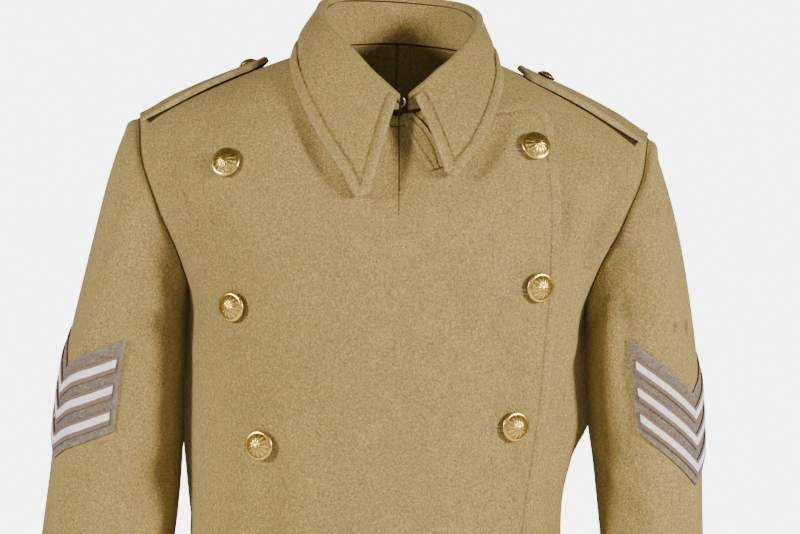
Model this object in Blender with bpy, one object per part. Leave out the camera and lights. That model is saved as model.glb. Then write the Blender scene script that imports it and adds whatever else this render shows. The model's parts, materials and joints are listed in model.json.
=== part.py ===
"""A double-breasted military greatcoat of heavy khaki wool, in the shape it has when worn.

The origin is the middle of the neck, level with the two points where collar and shoulder seam meet.
The front faces -Y, +Z is up, and +X is the side that the right front laps over to.
Every cloth piece is a wall: a grid of points on the outside, and the same points moved in.
"""

import math

import bmesh
import bpy
import numpy as np

# Driving sizes, all in millimetres until the mesh is made
MM = 0.001
WALL = 3.0
SEAM_HALF = 0.18
LAP_LIFT = 4.0

NECK_HALF = 67.0
NECK_FRONT_DROP = 61.0
NECK_BACK_RISE = 12.0
CHEST_Z = -225.0
HEM_Z = -1120.0
YOKE_HALF = 236.0
RING_POWER = 0.75
ARCH_POWER = 0.909
SHOULDER_RIDGE = 41.7
SHOULDER_SLOPE = 0.4637
SHOULDER_ROUND = 60.0
NAPE_RISE = 33.0

# The body under the arms, one row for each height: half width, front depth, back depth
BODY_ROWS = (
    {"z": -225, "half_width": 176.0, "front": 125, "back": 118},
    {"z": -240, "half_width": 172.8, "front": 125, "back": 118},
    {"z": -265, "half_width": 171.0, "front": 125, "back": 117},
    {"z": -310, "half_width": 167.5, "front": 123, "back": 113},
    {"z": -360, "half_width": 164.5, "front": 120, "back": 109},
    {"z": -410, "half_width": 163.0, "front": 118, "back": 107},
    {"z": -480, "half_width": 167.0, "front": 122, "back": 114},
    {"z": -570, "half_width": 180.0, "front": 132, "back": 130},
    {"z": -690, "half_width": 200.0, "front": 148, "back": 153},
    {"z": -830, "half_width": 230.0, "front": 170, "back": 180},
    {"z": -975, "half_width": 260.0, "front": 193, "back": 204},
    {"z": -1120, "half_width": 288.0, "front": 215, "back": 226},
)

# Extra cloth under the arms, which fills the space beside each sleeve, at heights down the side
SIDE_ROWS = (
    {"z": -232, "left": 0.0, "right": 0.0},
    {"z": -260, "left": 3.6, "right": 2.4},
    {"z": -295, "left": 8.0, "right": 4.6},
    {"z": -330, "left": 13.5, "right": 7.2},
    {"z": -352, "left": 8.5, "right": 7.8},
    {"z": -385, "left": 1.5, "right": 6.8},
    {"z": -430, "left": 0.0, "right": 4.6},
    {"z": -490, "left": 0.0, "right": 0.0},
)
SIDE_MIDDLE = 97.0
SIDE_SPREAD = 24.0

# Skirt folds, as the cloth falls below the waist: angle from the front, spread, start and depth at the hem
SKIRT_FOLDS = (
    {"angle": -158, "spread": 13, "start": -470, "depth": 15},
    {"angle": -122, "spread": 12, "start": -540, "depth": 11},
    {"angle": -88, "spread": 10, "start": -600, "depth": 9},
    {"angle": -57, "spread": 9, "start": -560, "depth": 8},
    {"angle": 52, "spread": 10, "start": -590, "depth": 9},
    {"angle": 84, "spread": 10, "start": -540, "depth": 8},
    {"angle": 118, "spread": 12, "start": -500, "depth": 12},
    {"angle": 152, "spread": 13, "start": -560, "depth": 14},
    {"angle": 176, "spread": 9, "start": -620, "depth": -8},
)

# Shoulder arch above the chest, by level in degrees up it: half width, and where the armhole's edge
# lies, as an angle from the front
YOKE_ROWS = (
    {"level": 0.0, "half_width": 176.0, "armhole": 90.0},
    {"level": 1.7, "half_width": 178.5, "armhole": 82.9},
    {"level": 5.0, "half_width": 184.5, "armhole": 77.3},
    {"level": 10.0, "half_width": 195.0, "armhole": 72.0},
    {"level": 16.0, "half_width": 209.0, "armhole": 67.6},
    {"level": 22.0, "half_width": 223.0, "armhole": 64.2},
    {"level": 30.0, "half_width": 234.0, "armhole": 63.0},
    {"level": 43.0, "half_width": 237.5, "armhole": 67.4},
    {"level": 65.0, "half_width": 236.5, "armhole": 72.4},
    {"level": 90.0, "half_width": 236.0, "armhole": 76.0},
)

# Free edges of the two fronts, by height: the right front laps over, the left front lies under it
EDGE_ROWS = (
    {"z": -62, "over": 134.0, "under": 102.0},
    {"z": -68, "over": 135.5, "under": 105.0},
    {"z": -99, "over": 139.5, "under": 108.0},
    {"z": -122, "over": 143.0, "under": 108.0},
    {"z": -192, "over": 144.5, "under": 108.0},
    {"z": -254, "over": 141.5, "under": 108.0},
    {"z": -326, "over": 137.0, "under": 106.0},
    {"z": -386, "over": 131.0, "under": 103.0},
    {"z": -450, "over": 126.0, "under": 100.0},
    {"z": -560, "over": 123.0, "under": 98.0},
    {"z": -800, "over": 127.0, "under": 101.0},
    {"z": -1120, "over": 134.0, "under": 106.0},
)

# Top edge of a front past the middle of the neck, by how far along it is toward the free edge
TOP_ROWS = (
    {"part": 0.0, "z": -61.0},
    {"part": 0.35, "z": -57.5},
    {"part": 0.7, "z": -52.5},
    {"part": 0.92, "z": -51.0},
    {"part": 1.0, "z": -61.0},
)

# Sleeve rings from the armhole to the cuff: outer point, inner point, half depth, forward swing
SLEEVE_ROWS = {
    "left": (
        {"out_x": 229.0, "out_z": -68, "in_x": 176.5, "in_z": -225, "depth": 62, "swing": 0},
        {"out_x": 238.0, "out_z": -88, "in_x": 177.0, "in_z": -232, "depth": 64, "swing": 0},
        {"out_x": 250.0, "out_z": -123, "in_x": 177.2, "in_z": -243, "depth": 66, "swing": 1},
        {"out_x": 261.0, "out_z": -164, "in_x": 177.6, "in_z": -258, "depth": 66, "swing": 1},
        {"out_x": 270.5, "out_z": -210, "in_x": 178.6, "in_z": -278, "depth": 65, "swing": 1},
        {"out_x": 278.5, "out_z": -258, "in_x": 180.5, "in_z": -302, "depth": 64, "swing": 1},
        {"out_x": 284.0, "out_z": -305, "in_x": 184.5, "in_z": -330, "depth": 63, "swing": 2},
        {"out_x": 287.0, "out_z": -352, "in_x": 189.5, "in_z": -358, "depth": 62, "swing": 4},
        {"out_x": 289.0, "out_z": -402, "in_x": 195.0, "in_z": -398, "depth": 60, "swing": 8},
        {"out_x": 292.0, "out_z": -456, "in_x": 201.0, "in_z": -446, "depth": 58, "swing": 15},
        {"out_x": 297.0, "out_z": -525, "in_x": 208.0, "in_z": -512, "depth": 56, "swing": 26},
        {"out_x": 303.0, "out_z": -602, "in_x": 215.0, "in_z": -588, "depth": 54, "swing": 40},
        {"out_x": 309.0, "out_z": -684, "in_x": 222.0, "in_z": -670, "depth": 52, "swing": 56},
    ),
    "right": (
        {"out_x": 229.0, "out_z": -68, "in_x": 176.5, "in_z": -225, "depth": 62, "swing": 0},
        {"out_x": 243.0, "out_z": -88, "in_x": 176.9, "in_z": -232, "depth": 64, "swing": 0},
        {"out_x": 253.5, "out_z": -125, "in_x": 176.9, "in_z": -244, "depth": 66, "swing": 1},
        {"out_x": 262.5, "out_z": -165, "in_x": 176.9, "in_z": -260, "depth": 66, "swing": 1},
        {"out_x": 272.0, "out_z": -210, "in_x": 176.4, "in_z": -282, "depth": 65, "swing": 1},
        {"out_x": 281.5, "out_z": -258, "in_x": 176.6, "in_z": -308, "depth": 64, "swing": 1},
        {"out_x": 288.5, "out_z": -305, "in_x": 176.8, "in_z": -336, "depth": 63, "swing": 2},
        {"out_x": 292.0, "out_z": -352, "in_x": 177.2, "in_z": -366, "depth": 62, "swing": 4},
        {"out_x": 295.5, "out_z": -402, "in_x": 178.2, "in_z": -406, "depth": 60, "swing": 8},
        {"out_x": 299.5, "out_z": -456, "in_x": 181.5, "in_z": -452, "depth": 58, "swing": 15},
        {"out_x": 304.0, "out_z": -525, "in_x": 190.5, "in_z": -518, "depth": 56, "swing": 26},
        {"out_x": 310.0, "out_z": -602, "in_x": 202.5, "in_z": -592, "depth": 54, "swing": 40},
        {"out_x": 317.0, "out_z": -684, "in_x": 214.0, "in_z": -672, "depth": 52, "swing": 56},
    ),
}
HEAD_FADE_ROWS = 2.4

# Collar stations from one end at the throat, round the back of the neck, to the other end:
# seam on the neckline, top of the roll, and free edge of the fall, which lies on the coat
COLLAR_ROWS = (
    {"seam_x": 14.0, "back": 0, "roll": (14.4, -97, -44), "edge": (44.5, -115), "lift": 13.0},
    {"seam_x": 18.0, "back": 0, "roll": (19.2, -94, -39), "edge": (53.0, -118), "lift": 12.3},
    {"seam_x": 22.0, "back": 0, "roll": (24.5, -91, -34), "edge": (61.0, -108), "lift": 11.5},
    {"seam_x": 34.0, "back": 0, "roll": (36.0, -83, -22), "edge": (74.0, -89), "lift": 10.5},
    {"seam_x": 46.0, "back": 0, "roll": (49.5, -69, -9), "edge": (86.0, -60), "lift": 9.5},
    {"seam_x": 58.0, "back": 0, "roll": (62.0, -46, 8), "edge": (91.5, -34), "lift": 8.5},
    {"seam_x": 66.6, "back": 0, "roll": (71.0, -18, 25), "edge": (86.5, -12), "lift": 6.5},
    {"seam_x": 60.0, "back": 1, "roll": (71.5, 16, 41), "edge": (80.5, -13), "lift": 6.5},
    {"seam_x": 40.0, "back": 1, "roll": (51.5, 48, 52), "edge": (56.0, -15), "lift": 6.5},
    {"seam_x": 0.0, "back": 1, "roll": (0.0, 69, 58), "edge": (0.0, -6), "lift": 5.5},
    {"seam_x": -40.0, "back": 1, "roll": (-48.0, 49, 55), "edge": (-56.0, -15), "lift": 6.5},
    {"seam_x": -60.0, "back": 1, "roll": (-67.0, 20, 47), "edge": (-82.0, -13), "lift": 6.5},
    {"seam_x": -66.6, "back": 0, "roll": (-68.5, -14, 33), "edge": (-89.0, -11), "lift": 6.5},
    {"seam_x": -57.0, "back": 0, "roll": (-57.0, -44, 13), "edge": (-90.0, -28), "lift": 8.0},
    {"seam_x": -42.0, "back": 0, "roll": (-39.5, -69, -4), "edge": (-81.5, -53), "lift": 8.8},
    {"seam_x": -26.0, "back": 0, "roll": (-21.0, -85, -24), "edge": (-63.5, -85), "lift": 9.0},
    {"seam_x": -10.0, "back": 0, "roll": (-6.5, -92, -37), "edge": (-42.0, -116), "lift": 9.0},
    {"seam_x": -3.5, "back": 0, "roll": (-1.2, -94.5, -41.5), "edge": (-29.0, -137), "lift": 9.5},
    {"seam_x": 3.0, "back": 0, "roll": (4.1, -97, -46), "edge": (-17.0, -133.5), "lift": 9.5},
)
COLLAR_STEPS = 2
# The roll of the collar, from its foot on the stand to where the fall begins: out from the top, and down
ROLL_PROFILE = (
    {"out": -4.4, "down": 7.0},
    {"out": -4.3, "down": 3.8},
    {"out": -2.8, "down": 1.0},
    {"out": 0.0, "down": 0.0},
    {"out": 3.0, "down": 1.1},
    {"out": 4.8, "down": 4.4},
)
FALL_ROWS = 6
FALL_BULGE = 3.5
STAND_WALL = 3.0
STAND_GAP = 1.3
STAND_TOP_GAP = 1.1
STAND_INSET = 1.0

# Front buttons: place on the front, by row from the collar down
BUTTON_RADIUS = 13.0
BUTTON_ROWS = (
    {"over_x": 120.6, "over_z": -88.7, "own_x": -140.4, "own_z": -111.8},
    {"over_x": 127.0, "over_z": -205.7, "own_x": -127.9, "own_z": -233.2},
    {"over_x": 110.8, "over_z": -325.3, "own_x": -100.1, "own_z": -349.8},
    {"over_x": 104.0, "over_z": -443.0, "own_x": -98.0, "own_z": -466.0},
    {"over_x": 101.0, "over_z": -561.0, "own_x": -97.0, "own_z": -584.0},
)
# Half profile of a shank button, in parts of its radius
BUTTON_PROFILE = (
    {"out": 0.0, "up": 0.74},
    {"out": 0.34, "up": 0.70},
    {"out": 0.64, "up": 0.57},
    {"out": 0.86, "up": 0.38},
    {"out": 0.93, "up": 0.31},
    {"out": 1.0, "up": 0.27},
    {"out": 0.97, "up": 0.17},
    {"out": 0.28, "up": 0.17},
    {"out": 0.24, "up": 0.0},
    {"out": 0.0, "up": 0.0},
)
BUTTON_SIDES = 14
BUTTON_GAP = 0.62

# Shoulder straps: where the point lies, how far forward the strap sits and how far it tips forward
STRAP_WALL = 5.0
STRAP_SEWN_WALL = 2.0
STRAP_SEWN_X = 196.0
STRAP_LIFT = 0.7
STRAP_SEWN_LIFT = 0.35
STRAP_ARCH = 1.6
STRAP_SEAM_X = 226.5
STRAP_HALF_SEAM = 31.0
STRAP_HALF_TIP = 20.5
STRAP_TIP_ROUND = 18.0
STRAP_CURVE = 75.0
STRAP_PLACES = {
    "left": {"tip_x": 107.0, "forward": 10.0, "tip_rise": 2.0, "button_back": 24.0, "across": -4.0},
    "right": {"tip_x": 113.0, "forward": 2.0, "tip_rise": 3.0, "button_back": 17.0, "across": 5.0},
}
STRAP_BUTTON_RADIUS = 8.5
STRAP_BUTTON_LOW = 0.1

# Chevrons: middle of the patch round the sleeve, height of the top of its valley, and how much it leans
CHEVRON_PLACES = {
    "left": {"middle_deg": 41.0, "valley_z": -295.0, "lean": 0.015},
    "right": {"middle_deg": 28.0, "valley_z": -295.0, "lean": 0.3},
}
CHEVRON_HALF = 64.0
CHEVRON_TALL = 80.0
CHEVRON_DROP = 48.0
CHEVRON_RADIUS = 57.0
CHEVRON_WALL = 1.4
CHEVRON_LIFT = 0.7
TAPE_WIDTH = 14.0
TAPE_PITCH = 23.0
TAPE_FIRST = 12.5
TAPE_WALL = 1.2
TAPE_COUNT = 3

# Narrow stitched strip under the end of the collar, from the throat down
TAB_ROWS = (
    {"left_x": 7.0, "left_z": -60.0, "right_x": 16.0, "right_z": -60.0},
    {"left_x": 12.0, "left_z": -75.0, "right_x": 28.0, "right_z": -74.0},
    {"left_x": 21.5, "left_z": -93.0, "right_x": 38.0, "right_z": -91.0},
    {"left_x": 33.0, "left_z": -112.0, "right_x": 44.0, "right_z": -108.0},
)
TAB_WALL = 2.0
TAB_LIFT = 0.6

# Wire of the throat hook, from its foot on the end of the collar stand
HOOK_ROWS = (
    {"x": 5.2, "y": -96.0, "z": -57.0},
    {"x": 6.9, "y": -97.2, "z": -56.6},
    {"x": 8.4, "y": -98.6, "z": -55.4},
    {"x": 9.0, "y": -99.8, "z": -53.4},
    {"x": 8.6, "y": -100.8, "z": -51.4},
    {"x": 7.4, "y": -101.3, "z": -50.2},
)
HOOK_WIRE = 0.75
HOOK_SIDES = 8

# How finely the cloth is cut into rows and columns, and how the spacing eases toward the chest and neck
BODY_ROWS_BELOW = 12
BODY_EASE = 1.35
COMMON_ROWS = 7
YOKE_COMMON_DEG = 34.0
TOP_ROWS_ABOVE = 5
YOKE_EASE = 1.4
LAP_COLUMNS = 5
LAP_EASE = 1.3
NECK_COLUMNS = 7
SHOULDER_COLUMNS = 8
BACK_NECK_COLUMNS = 5


def smooth(low, high, value):
    part = np.clip((np.asarray(value, float) - low) / (high - low), 0.0, 1.0)
    return part * part * (3.0 - 2.0 * part)


def curve(knots, values, at):
    """A smooth curve through the values, read at the places asked for."""
    knots = np.asarray(knots, float)
    values = np.asarray(values, float)
    if knots[0] > knots[-1]:
        knots = knots[::-1]
        values = values[::-1]
    slopes = np.gradient(values, knots)
    at = np.clip(np.asarray(at, float), knots[0], knots[-1])
    index = np.clip(np.searchsorted(knots, at, side="right") - 1, 0, len(knots) - 2)
    gap = knots[index + 1] - knots[index]
    t = (at - knots[index]) / gap
    start = (1 + 2 * t) * (1 - t) ** 2 * values[index] + t * (1 - t) ** 2 * gap * slopes[index]
    end = t * t * (3 - 2 * t) * values[index + 1] + t * t * (t - 1) * gap * slopes[index + 1]
    return start + end


def column(rows, name):
    return [row[name] for row in rows]


def read(rows, knot, name, at):
    return curve(column(rows, knot), column(rows, name), at)


def unit(vectors):
    return vectors / np.maximum(np.linalg.norm(vectors, axis=-1, keepdims=True), 1e-9)


def stack(x, y, z):
    return np.stack(np.broadcast_arrays(x, y, z), axis=-1).astype(float)


def shoulder_top(x, back):
    """Height of the shoulder ridge at a distance from the middle."""
    ridge = SHOULDER_RIDGE - SHOULDER_SLOPE * np.sqrt(x * x + SHOULDER_ROUND**2)
    nape = NAPE_RISE * np.clip(1.0 - (x / NECK_HALF) ** 2, 0.0, 1.0) ** 2
    return ridge + np.where(back, nape, 0.0)


def yoke_half(level):
    return read(YOKE_ROWS, "level", "half_width", level)


def skirt_fold(theta, z):
    """How far the skirt stands out in its folds."""
    out = np.zeros(np.broadcast(theta, z).shape)
    for fold in SKIRT_FOLDS:
        turn = np.degrees(np.angle(np.exp(1j * (theta - math.radians(fold["angle"])))))
        grow = smooth(fold["start"], HEM_Z, z)
        out = out + fold["depth"] * grow * np.exp(-((turn / fold["spread"]) ** 2))
    return out


def side_fullness(theta, z):
    """How far the extra cloth under the arms stands out."""
    amount = np.where(np.sin(theta) > 0, read(SIDE_ROWS, "z", "left", z), read(SIDE_ROWS, "z", "right", z))
    away = np.degrees(np.abs(theta)) - SIDE_MIDDLE
    return amount * np.exp(-((away / SIDE_SPREAD) ** 2))


def body_base(theta, level):
    """The coat's outside: theta turns from the front, level is mm below the chest or degrees above it."""
    theta, level = np.broadcast_arrays(np.asarray(theta, float), np.asarray(level, float))
    back = np.cos(theta) < 0
    tube_z = CHEST_Z + np.minimum(level, 0.0)
    rise = np.radians(np.clip(level, 0.0, 90.0))
    below = read(BODY_ROWS, "z", "half_width", tube_z)
    width = np.where(level > 0, yoke_half(level), below)
    front_depth = read(BODY_ROWS, "z", "front", tube_z)
    back_depth = read(BODY_ROWS, "z", "back", tube_z)
    depth = np.where(back, back_depth, front_depth)
    fold = skirt_fold(theta, tube_z) + side_fullness(theta, tube_z)
    x = width * np.sin(theta)
    side = np.where(back, 1.0, -1.0)
    y = side * depth * np.abs(np.cos(theta)) ** RING_POWER * np.cos(rise) ** ARCH_POWER
    z = tube_z + (shoulder_top(x, back) - CHEST_Z) * np.sin(rise) ** ARCH_POWER
    return stack(x + fold * np.sin(theta), y - fold * np.cos(theta), z)


def body_normal(theta, level):
    theta, level = np.broadcast_arrays(np.asarray(theta, float), np.asarray(level, float))
    turn = 0.004
    step = 0.6
    high = np.minimum(level + step, 89.8)
    low = np.minimum(level, 89.8)
    across = body_base(theta + turn, low) - body_base(theta - turn, low)
    up = body_base(theta, high) - body_base(theta, high - 2 * step)
    return unit(np.cross(across, up))


def body_point(theta, level, lift=0.0):
    lift = np.asarray(lift, float)[..., None]
    return body_base(theta, level) + body_normal(theta, level) * lift


def level_at(x, z, back):
    """Level of a place on the shoulder arch that is given by its x and z."""
    part = (z - CHEST_Z) / (shoulder_top(x, back) - CHEST_Z)
    part = np.clip(part, 0.0, 1.0)
    return np.where(z > CHEST_Z, np.degrees(np.arcsin(part ** (1.0 / ARCH_POWER))), z - CHEST_Z)


def place_at(x, z, back=0):
    """Theta and level of a place that is given by its x and z, as seen from the front or back."""
    x = np.asarray(x, float)
    z = np.asarray(z, float)
    level = level_at(x, z, back)
    below = read(BODY_ROWS, "z", "half_width", np.minimum(z, CHEST_Z))
    width = np.where(level > 0, yoke_half(level), below)
    theta = np.arcsin(np.clip(x / width, -1.0, 1.0))
    return np.where(back, math.pi - theta, theta), level


def armhole_theta(level):
    return np.radians(read(YOKE_ROWS, "level", "armhole", level))


def lap_lift(side, theta, level):
    """How far the right front stands out over the left front that lies under it."""
    if side > 0:
        return np.zeros(np.broadcast(theta, level).shape)
    x = side * body_base(theta, level)[..., 0]
    inside = 1.0 - smooth(112.0, 165.0, x)
    below = 1.0 - smooth(52.0, 88.0, level)
    return LAP_LIFT * inside * below


def edge_theta(side, level):
    """Angle of a front's free edge, past the middle, in that front's own sense."""
    name = "under" if side > 0 else "over"
    corner = EDGE_ROWS[0]["z"]
    edge = EDGE_ROWS[0][name]
    corner_level = level_at(edge, corner, 0)
    level = np.minimum(level, corner_level)
    z = body_base(np.full(np.shape(level), 0.5), level)[..., 2]
    for _ in range(3):
        reach = read(EDGE_ROWS, "z", name, z)
        theta = place_at(reach, z)[0]
        z = body_base(theta, level)[..., 2]
    below = read(BODY_ROWS, "z", "half_width", CHEST_Z + np.minimum(level, 0.0))
    width = np.where(level > 0, yoke_half(level), below)
    return -np.arcsin(np.clip(reach / width, -1.0, 1.0))


def neck_top(side, x):
    """Height of a front's top edge: the neckline, then the edge that runs on to the free corner."""
    far = EDGE_ROWS[0]["under" if side > 0 else "over"]
    round_neck = -NECK_FRONT_DROP * np.sqrt(np.clip(1.0 - (x / NECK_HALF) ** 2, 0.0, 1.0))
    along = read(TOP_ROWS, "part", "z", np.clip(-x / far, 0.0, 1.0))
    return np.where(x > 0, round_neck, along)


def yoke_levels(top):
    """Levels of the rows above the chest: common to all columns at first, then shared out up to the top."""
    common = YOKE_COMMON_DEG * (np.arange(1, COMMON_ROWS + 1) / COMMON_ROWS) ** YOKE_EASE
    rest = np.arange(1, TOP_ROWS_ABOVE + 1) / TOP_ROWS_ABOVE
    top = np.asarray(top, float)
    low = np.repeat(common[:, None], top.size, axis=1)
    high = YOKE_COMMON_DEG + (top.reshape(1, -1) - YOKE_COMMON_DEG) * rest[:, None]
    return np.vstack([np.zeros((1, top.size)), low, high])


def neck_columns(count, back):
    """Theta and level of points along half the neckline, from its middle to the shoulder seam."""
    turn = np.linspace(0.0, math.pi / 2, count + 1)
    x = NECK_HALF * np.sin(turn)
    z = NECK_BACK_RISE * np.cos(turn) ** 2 if back else -NECK_FRONT_DROP * np.cos(turn)
    level = level_at(x, z, back)
    return np.arcsin(x / yoke_half(level)), level


def shoulder_columns(count):
    start = math.asin(NECK_HALF / YOKE_HALF)
    end = float(armhole_theta(90.0))
    theta = start + (end - start) * np.linspace(0.0, 1.0, count + 1)[1:]
    return theta, np.full(count, 90.0)


def lapped_columns(side, count):
    """Theta and level along the top edge from the free corner to the middle of the neck."""
    far = EDGE_ROWS[0]["under" if side > 0 else "over"]
    x = -far * np.linspace(1.0, 0.0, count + 1)[:-1] ** LAP_EASE
    z = read(TOP_ROWS, "part", "z", -x / far)
    level = level_at(x, z, 0)
    return np.arcsin(x / yoke_half(level)), level


def front_grid(side):
    """Theta and level of a front's points, rows from the hem up and columns from the free edge out."""
    parts = (
        lapped_columns(side, LAP_COLUMNS),
        neck_columns(NECK_COLUMNS, 0),
        shoulder_columns(SHOULDER_COLUMNS),
    )
    theta = np.concatenate([part[0] for part in parts])
    level = np.concatenate([part[1] for part in parts])
    return grid_from(theta, level, lambda at: edge_theta(side, at))


def back_grid():
    """Theta and level of a back's points, columns from the middle seam out."""
    parts = (neck_columns(BACK_NECK_COLUMNS, 1), shoulder_columns(SHOULDER_COLUMNS))
    theta = np.concatenate([part[0] for part in parts])
    level = np.concatenate([part[1] for part in parts])
    theta, level = grid_from(theta, level, lambda at: np.zeros(np.shape(at)))
    return math.pi - theta, level


def grid_from(top_theta, top_level, inner_edge):
    """Rows from the hem to the top edge, spread between an inner edge and the side seam or armhole."""
    count = len(top_theta)
    fall = np.linspace(1.0, 0.0, BODY_ROWS_BELOW + 1)[:-1] ** BODY_EASE
    below = np.repeat(((HEM_Z - CHEST_Z) * fall)[:, None], count, axis=1)
    level = np.vstack([below, yoke_levels(top_level)])
    low = inner_edge(top_level)
    top_share = (top_theta - low) / (armhole_theta(top_level) - low)
    even = np.linspace(0.0, 1.0, count)
    blend = np.zeros(len(level))
    above = COMMON_ROWS + TOP_ROWS_ABOVE
    blend[BODY_ROWS_BELOW:] = smooth(0.0, 1.0, np.arange(above + 1) / above)
    share = even[None, :] + (top_share - even)[None, :] * blend[:, None]
    low = inner_edge(level)
    theta = low + share * (armhole_theta(level) - low)
    return theta, level


def pull_in(points, distance=SEAM_HALF):
    """Moves the border of a grid in by a hair, so that sewn pieces don't touch."""
    points = points.copy()
    points[0] += unit(points[1] - points[0]) * distance
    points[-1] += unit(points[-2] - points[-1]) * distance
    points[:, 0] += unit(points[:, 1] - points[:, 0]) * distance
    points[:, -1] += unit(points[:, -2] - points[:, -1]) * distance
    return points


def ring_values(rows, at):
    knots = np.arange(len(rows), dtype=float)
    return {name: curve(knots, column(rows, name), at) for name in rows[0]}


def round_armhole(read_body):
    """Reads something of the body along the armhole: from the shoulder down the front and up the back."""
    rise = yoke_levels(90.0)[::-1, 0]
    theta = armhole_theta(rise)
    front = read_body(theta, rise)
    back = read_body(math.pi - theta, rise)
    return np.vstack([front, back[::-1][1:-1]])


def loop_angles(loop, rows):
    """Angle round the sleeve that belongs to each point of the armhole."""
    first = rows[0]
    middle = np.array([(first["out_x"] + first["in_x"]) / 2, (first["out_z"] + first["in_z"]) / 2])
    half = np.array([(first["out_x"] - first["in_x"]) / 2, (first["out_z"] - first["in_z"]) / 2])
    flat = loop[:, [0, 2]] - middle
    angle = np.arccos(np.clip(flat @ half / (half @ half), -1.0, 1.0))
    return np.where(loop[:, 1] > 0, 2 * math.pi - angle, angle)


def sleeve_ring(rows, angle, at):
    """A point on the sleeve's outside: angle from the outer line to the front, at a row of the table."""
    v = ring_values(rows, at)
    x = (v["out_x"] + v["in_x"]) / 2 + (v["out_x"] - v["in_x"]) / 2 * np.cos(angle)
    z = (v["out_z"] + v["in_z"]) / 2 + (v["out_z"] - v["in_z"]) / 2 * np.cos(angle)
    y = -v["swing"] - v["depth"] * np.sin(angle)
    return stack(x, y, z)


def sleeve_points(side_name, at):
    rows = SLEEVE_ROWS[side_name]
    loop = round_armhole(body_base)
    angle = loop_angles(loop, rows)
    at = np.asarray(at, float)[:, None]
    points = sleeve_ring(rows, angle[None, :], at)
    start = sleeve_ring(rows, angle, np.zeros(len(angle)))
    fade = 1.0 - smooth(0.0, HEAD_FADE_ROWS, at)
    return points + fade[..., None] * (loop - start)[None]


def tube_normals(points):
    """Outward normals of a grid that closes on itself from column to column."""
    across = np.roll(points, -1, axis=1) - np.roll(points, 1, axis=1)
    down = np.gradient(points, axis=0)
    return unit(np.cross(across, down))


def mitre(own, other):
    """The direction of a seam's end face, shared where the two walls meet at a corner."""
    near = smooth(-0.3, 0.3, np.sum(own * other, axis=-1))
    return unit(own + near[..., None] * other)


def mesh_object(name, points, faces, material, is_smooth=True):
    mesh = bpy.data.meshes.new(name)
    mesh.from_pydata([tuple(p) for p in np.asarray(points) * MM], [], faces)
    shape = bmesh.new()
    shape.from_mesh(mesh)
    bmesh.ops.recalc_face_normals(shape, faces=shape.faces)
    if shape.calc_volume(signed=True) < 0:
        bmesh.ops.reverse_faces(shape, faces=shape.faces)
    shape.to_mesh(mesh)
    shape.free()
    mesh.validate()
    mesh.materials.append(material)
    if is_smooth:
        mesh.shade_smooth()
        mesh.set_sharp_from_angle(angle=math.radians(38))
    thing = bpy.data.objects.new(name, mesh)
    bpy.context.collection.objects.link(thing)
    return thing


def wall(name, outer, inner, material, closed=False):
    """A closed wall between two grids of points; a closed one joins its last column to its first."""
    rows, columns = outer.shape[:2]
    points = np.vstack([outer.reshape(-1, 3), inner.reshape(-1, 3)])
    shift = rows * columns
    faces = []
    last = columns if closed else columns - 1
    for r in range(rows - 1):
        for c in range(last):
            n = (c + 1) % columns
            quad = (r * columns + c, r * columns + n, (r + 1) * columns + n, (r + 1) * columns + c)
            faces.append(quad)
            faces.append(tuple(shift + i for i in reversed(quad)))
    for c in range(last):
        n = (c + 1) % columns
        top = (rows - 1) * columns
        faces.append((n, c, shift + c, shift + n))
        faces.append((top + c, top + n, shift + top + n, shift + top + c))
    if not closed:
        for r in range(rows - 1):
            a = r * columns
            b = (r + 1) * columns
            faces.append((a, b, shift + b, shift + a))
            faces.append((b + last, a + last, shift + a + last, shift + b + last))
    return mesh_object(name, points, faces, material)


def make_material(name, colour, roughness, metallic=0.0):
    material = bpy.data.materials.new(name)
    material.use_nodes = True
    shader = material.node_tree.nodes["Principled BSDF"]
    shader.inputs["Base Color"].default_value = (*colour, 1.0)
    shader.inputs["Roughness"].default_value = roughness
    shader.inputs["Metallic"].default_value = metallic
    return material


def make_front(side, name, material):
    theta, level = front_grid(side)
    theta = side * theta
    lift = lap_lift(side, theta, level)
    normals = body_normal(theta, level)
    points = pull_in(body_base(theta, level) + normals * lift[..., None])
    side_name = "left" if side > 0 else "right"
    own = normals[BODY_ROWS_BELOW:, -1]
    normals[BODY_ROWS_BELOW:, -1] = armhole_faces(side, side_name, own, back=False)
    return wall(name, points, points - normals * WALL, material)


def make_back(side, name, material):
    theta, level = back_grid()
    theta = side * theta
    normals = body_normal(theta, level)
    points = pull_in(body_base(theta, level))
    side_name = "left" if side > 0 else "right"
    own = normals[BODY_ROWS_BELOW:, -1]
    normals[BODY_ROWS_BELOW:, -1] = armhole_faces(side, side_name, own, back=True)
    return wall(name, points, points - normals * WALL, material)


def head_normals(side_name):
    """Normals of the sleeve's first row, in the side's own sense."""
    points = sleeve_points(side_name, (0.0, 0.12))
    return tube_normals(points)[0]


def armhole_faces(side, side_name, own, back):
    """End faces of a body panel along the armhole, from the armpit up."""
    flip = np.array([side, 1.0, 1.0])
    head = head_normals(side_name) * flip
    above = COMMON_ROWS + TOP_ROWS_ABOVE
    if back:
        order = [(above + k) % len(head) for k in range(above + 1)]
    else:
        order = [above - k for k in range(above + 1)]
    return mitre(own, head[order])


def make_sleeve(side, side_name, material):
    rows = SLEEVE_ROWS[side_name]
    at = np.concatenate([[0.0, 0.35, 0.8], np.arange(1.4, len(rows) - 1, 0.86), [len(rows) - 1.0]])
    points = sleeve_points(side_name, at)
    normals = tube_normals(points)
    normals[0] = mitre(head_normals(side_name), round_armhole(body_normal))
    points[0] += unit(points[1] - points[0]) * SEAM_HALF
    flip = np.array([side, 1.0, 1.0])
    outer = points * flip
    inner = (points - normals * WALL) * flip
    return wall(f"sleeve_{side_name}", outer, inner, material, closed=True)


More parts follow.
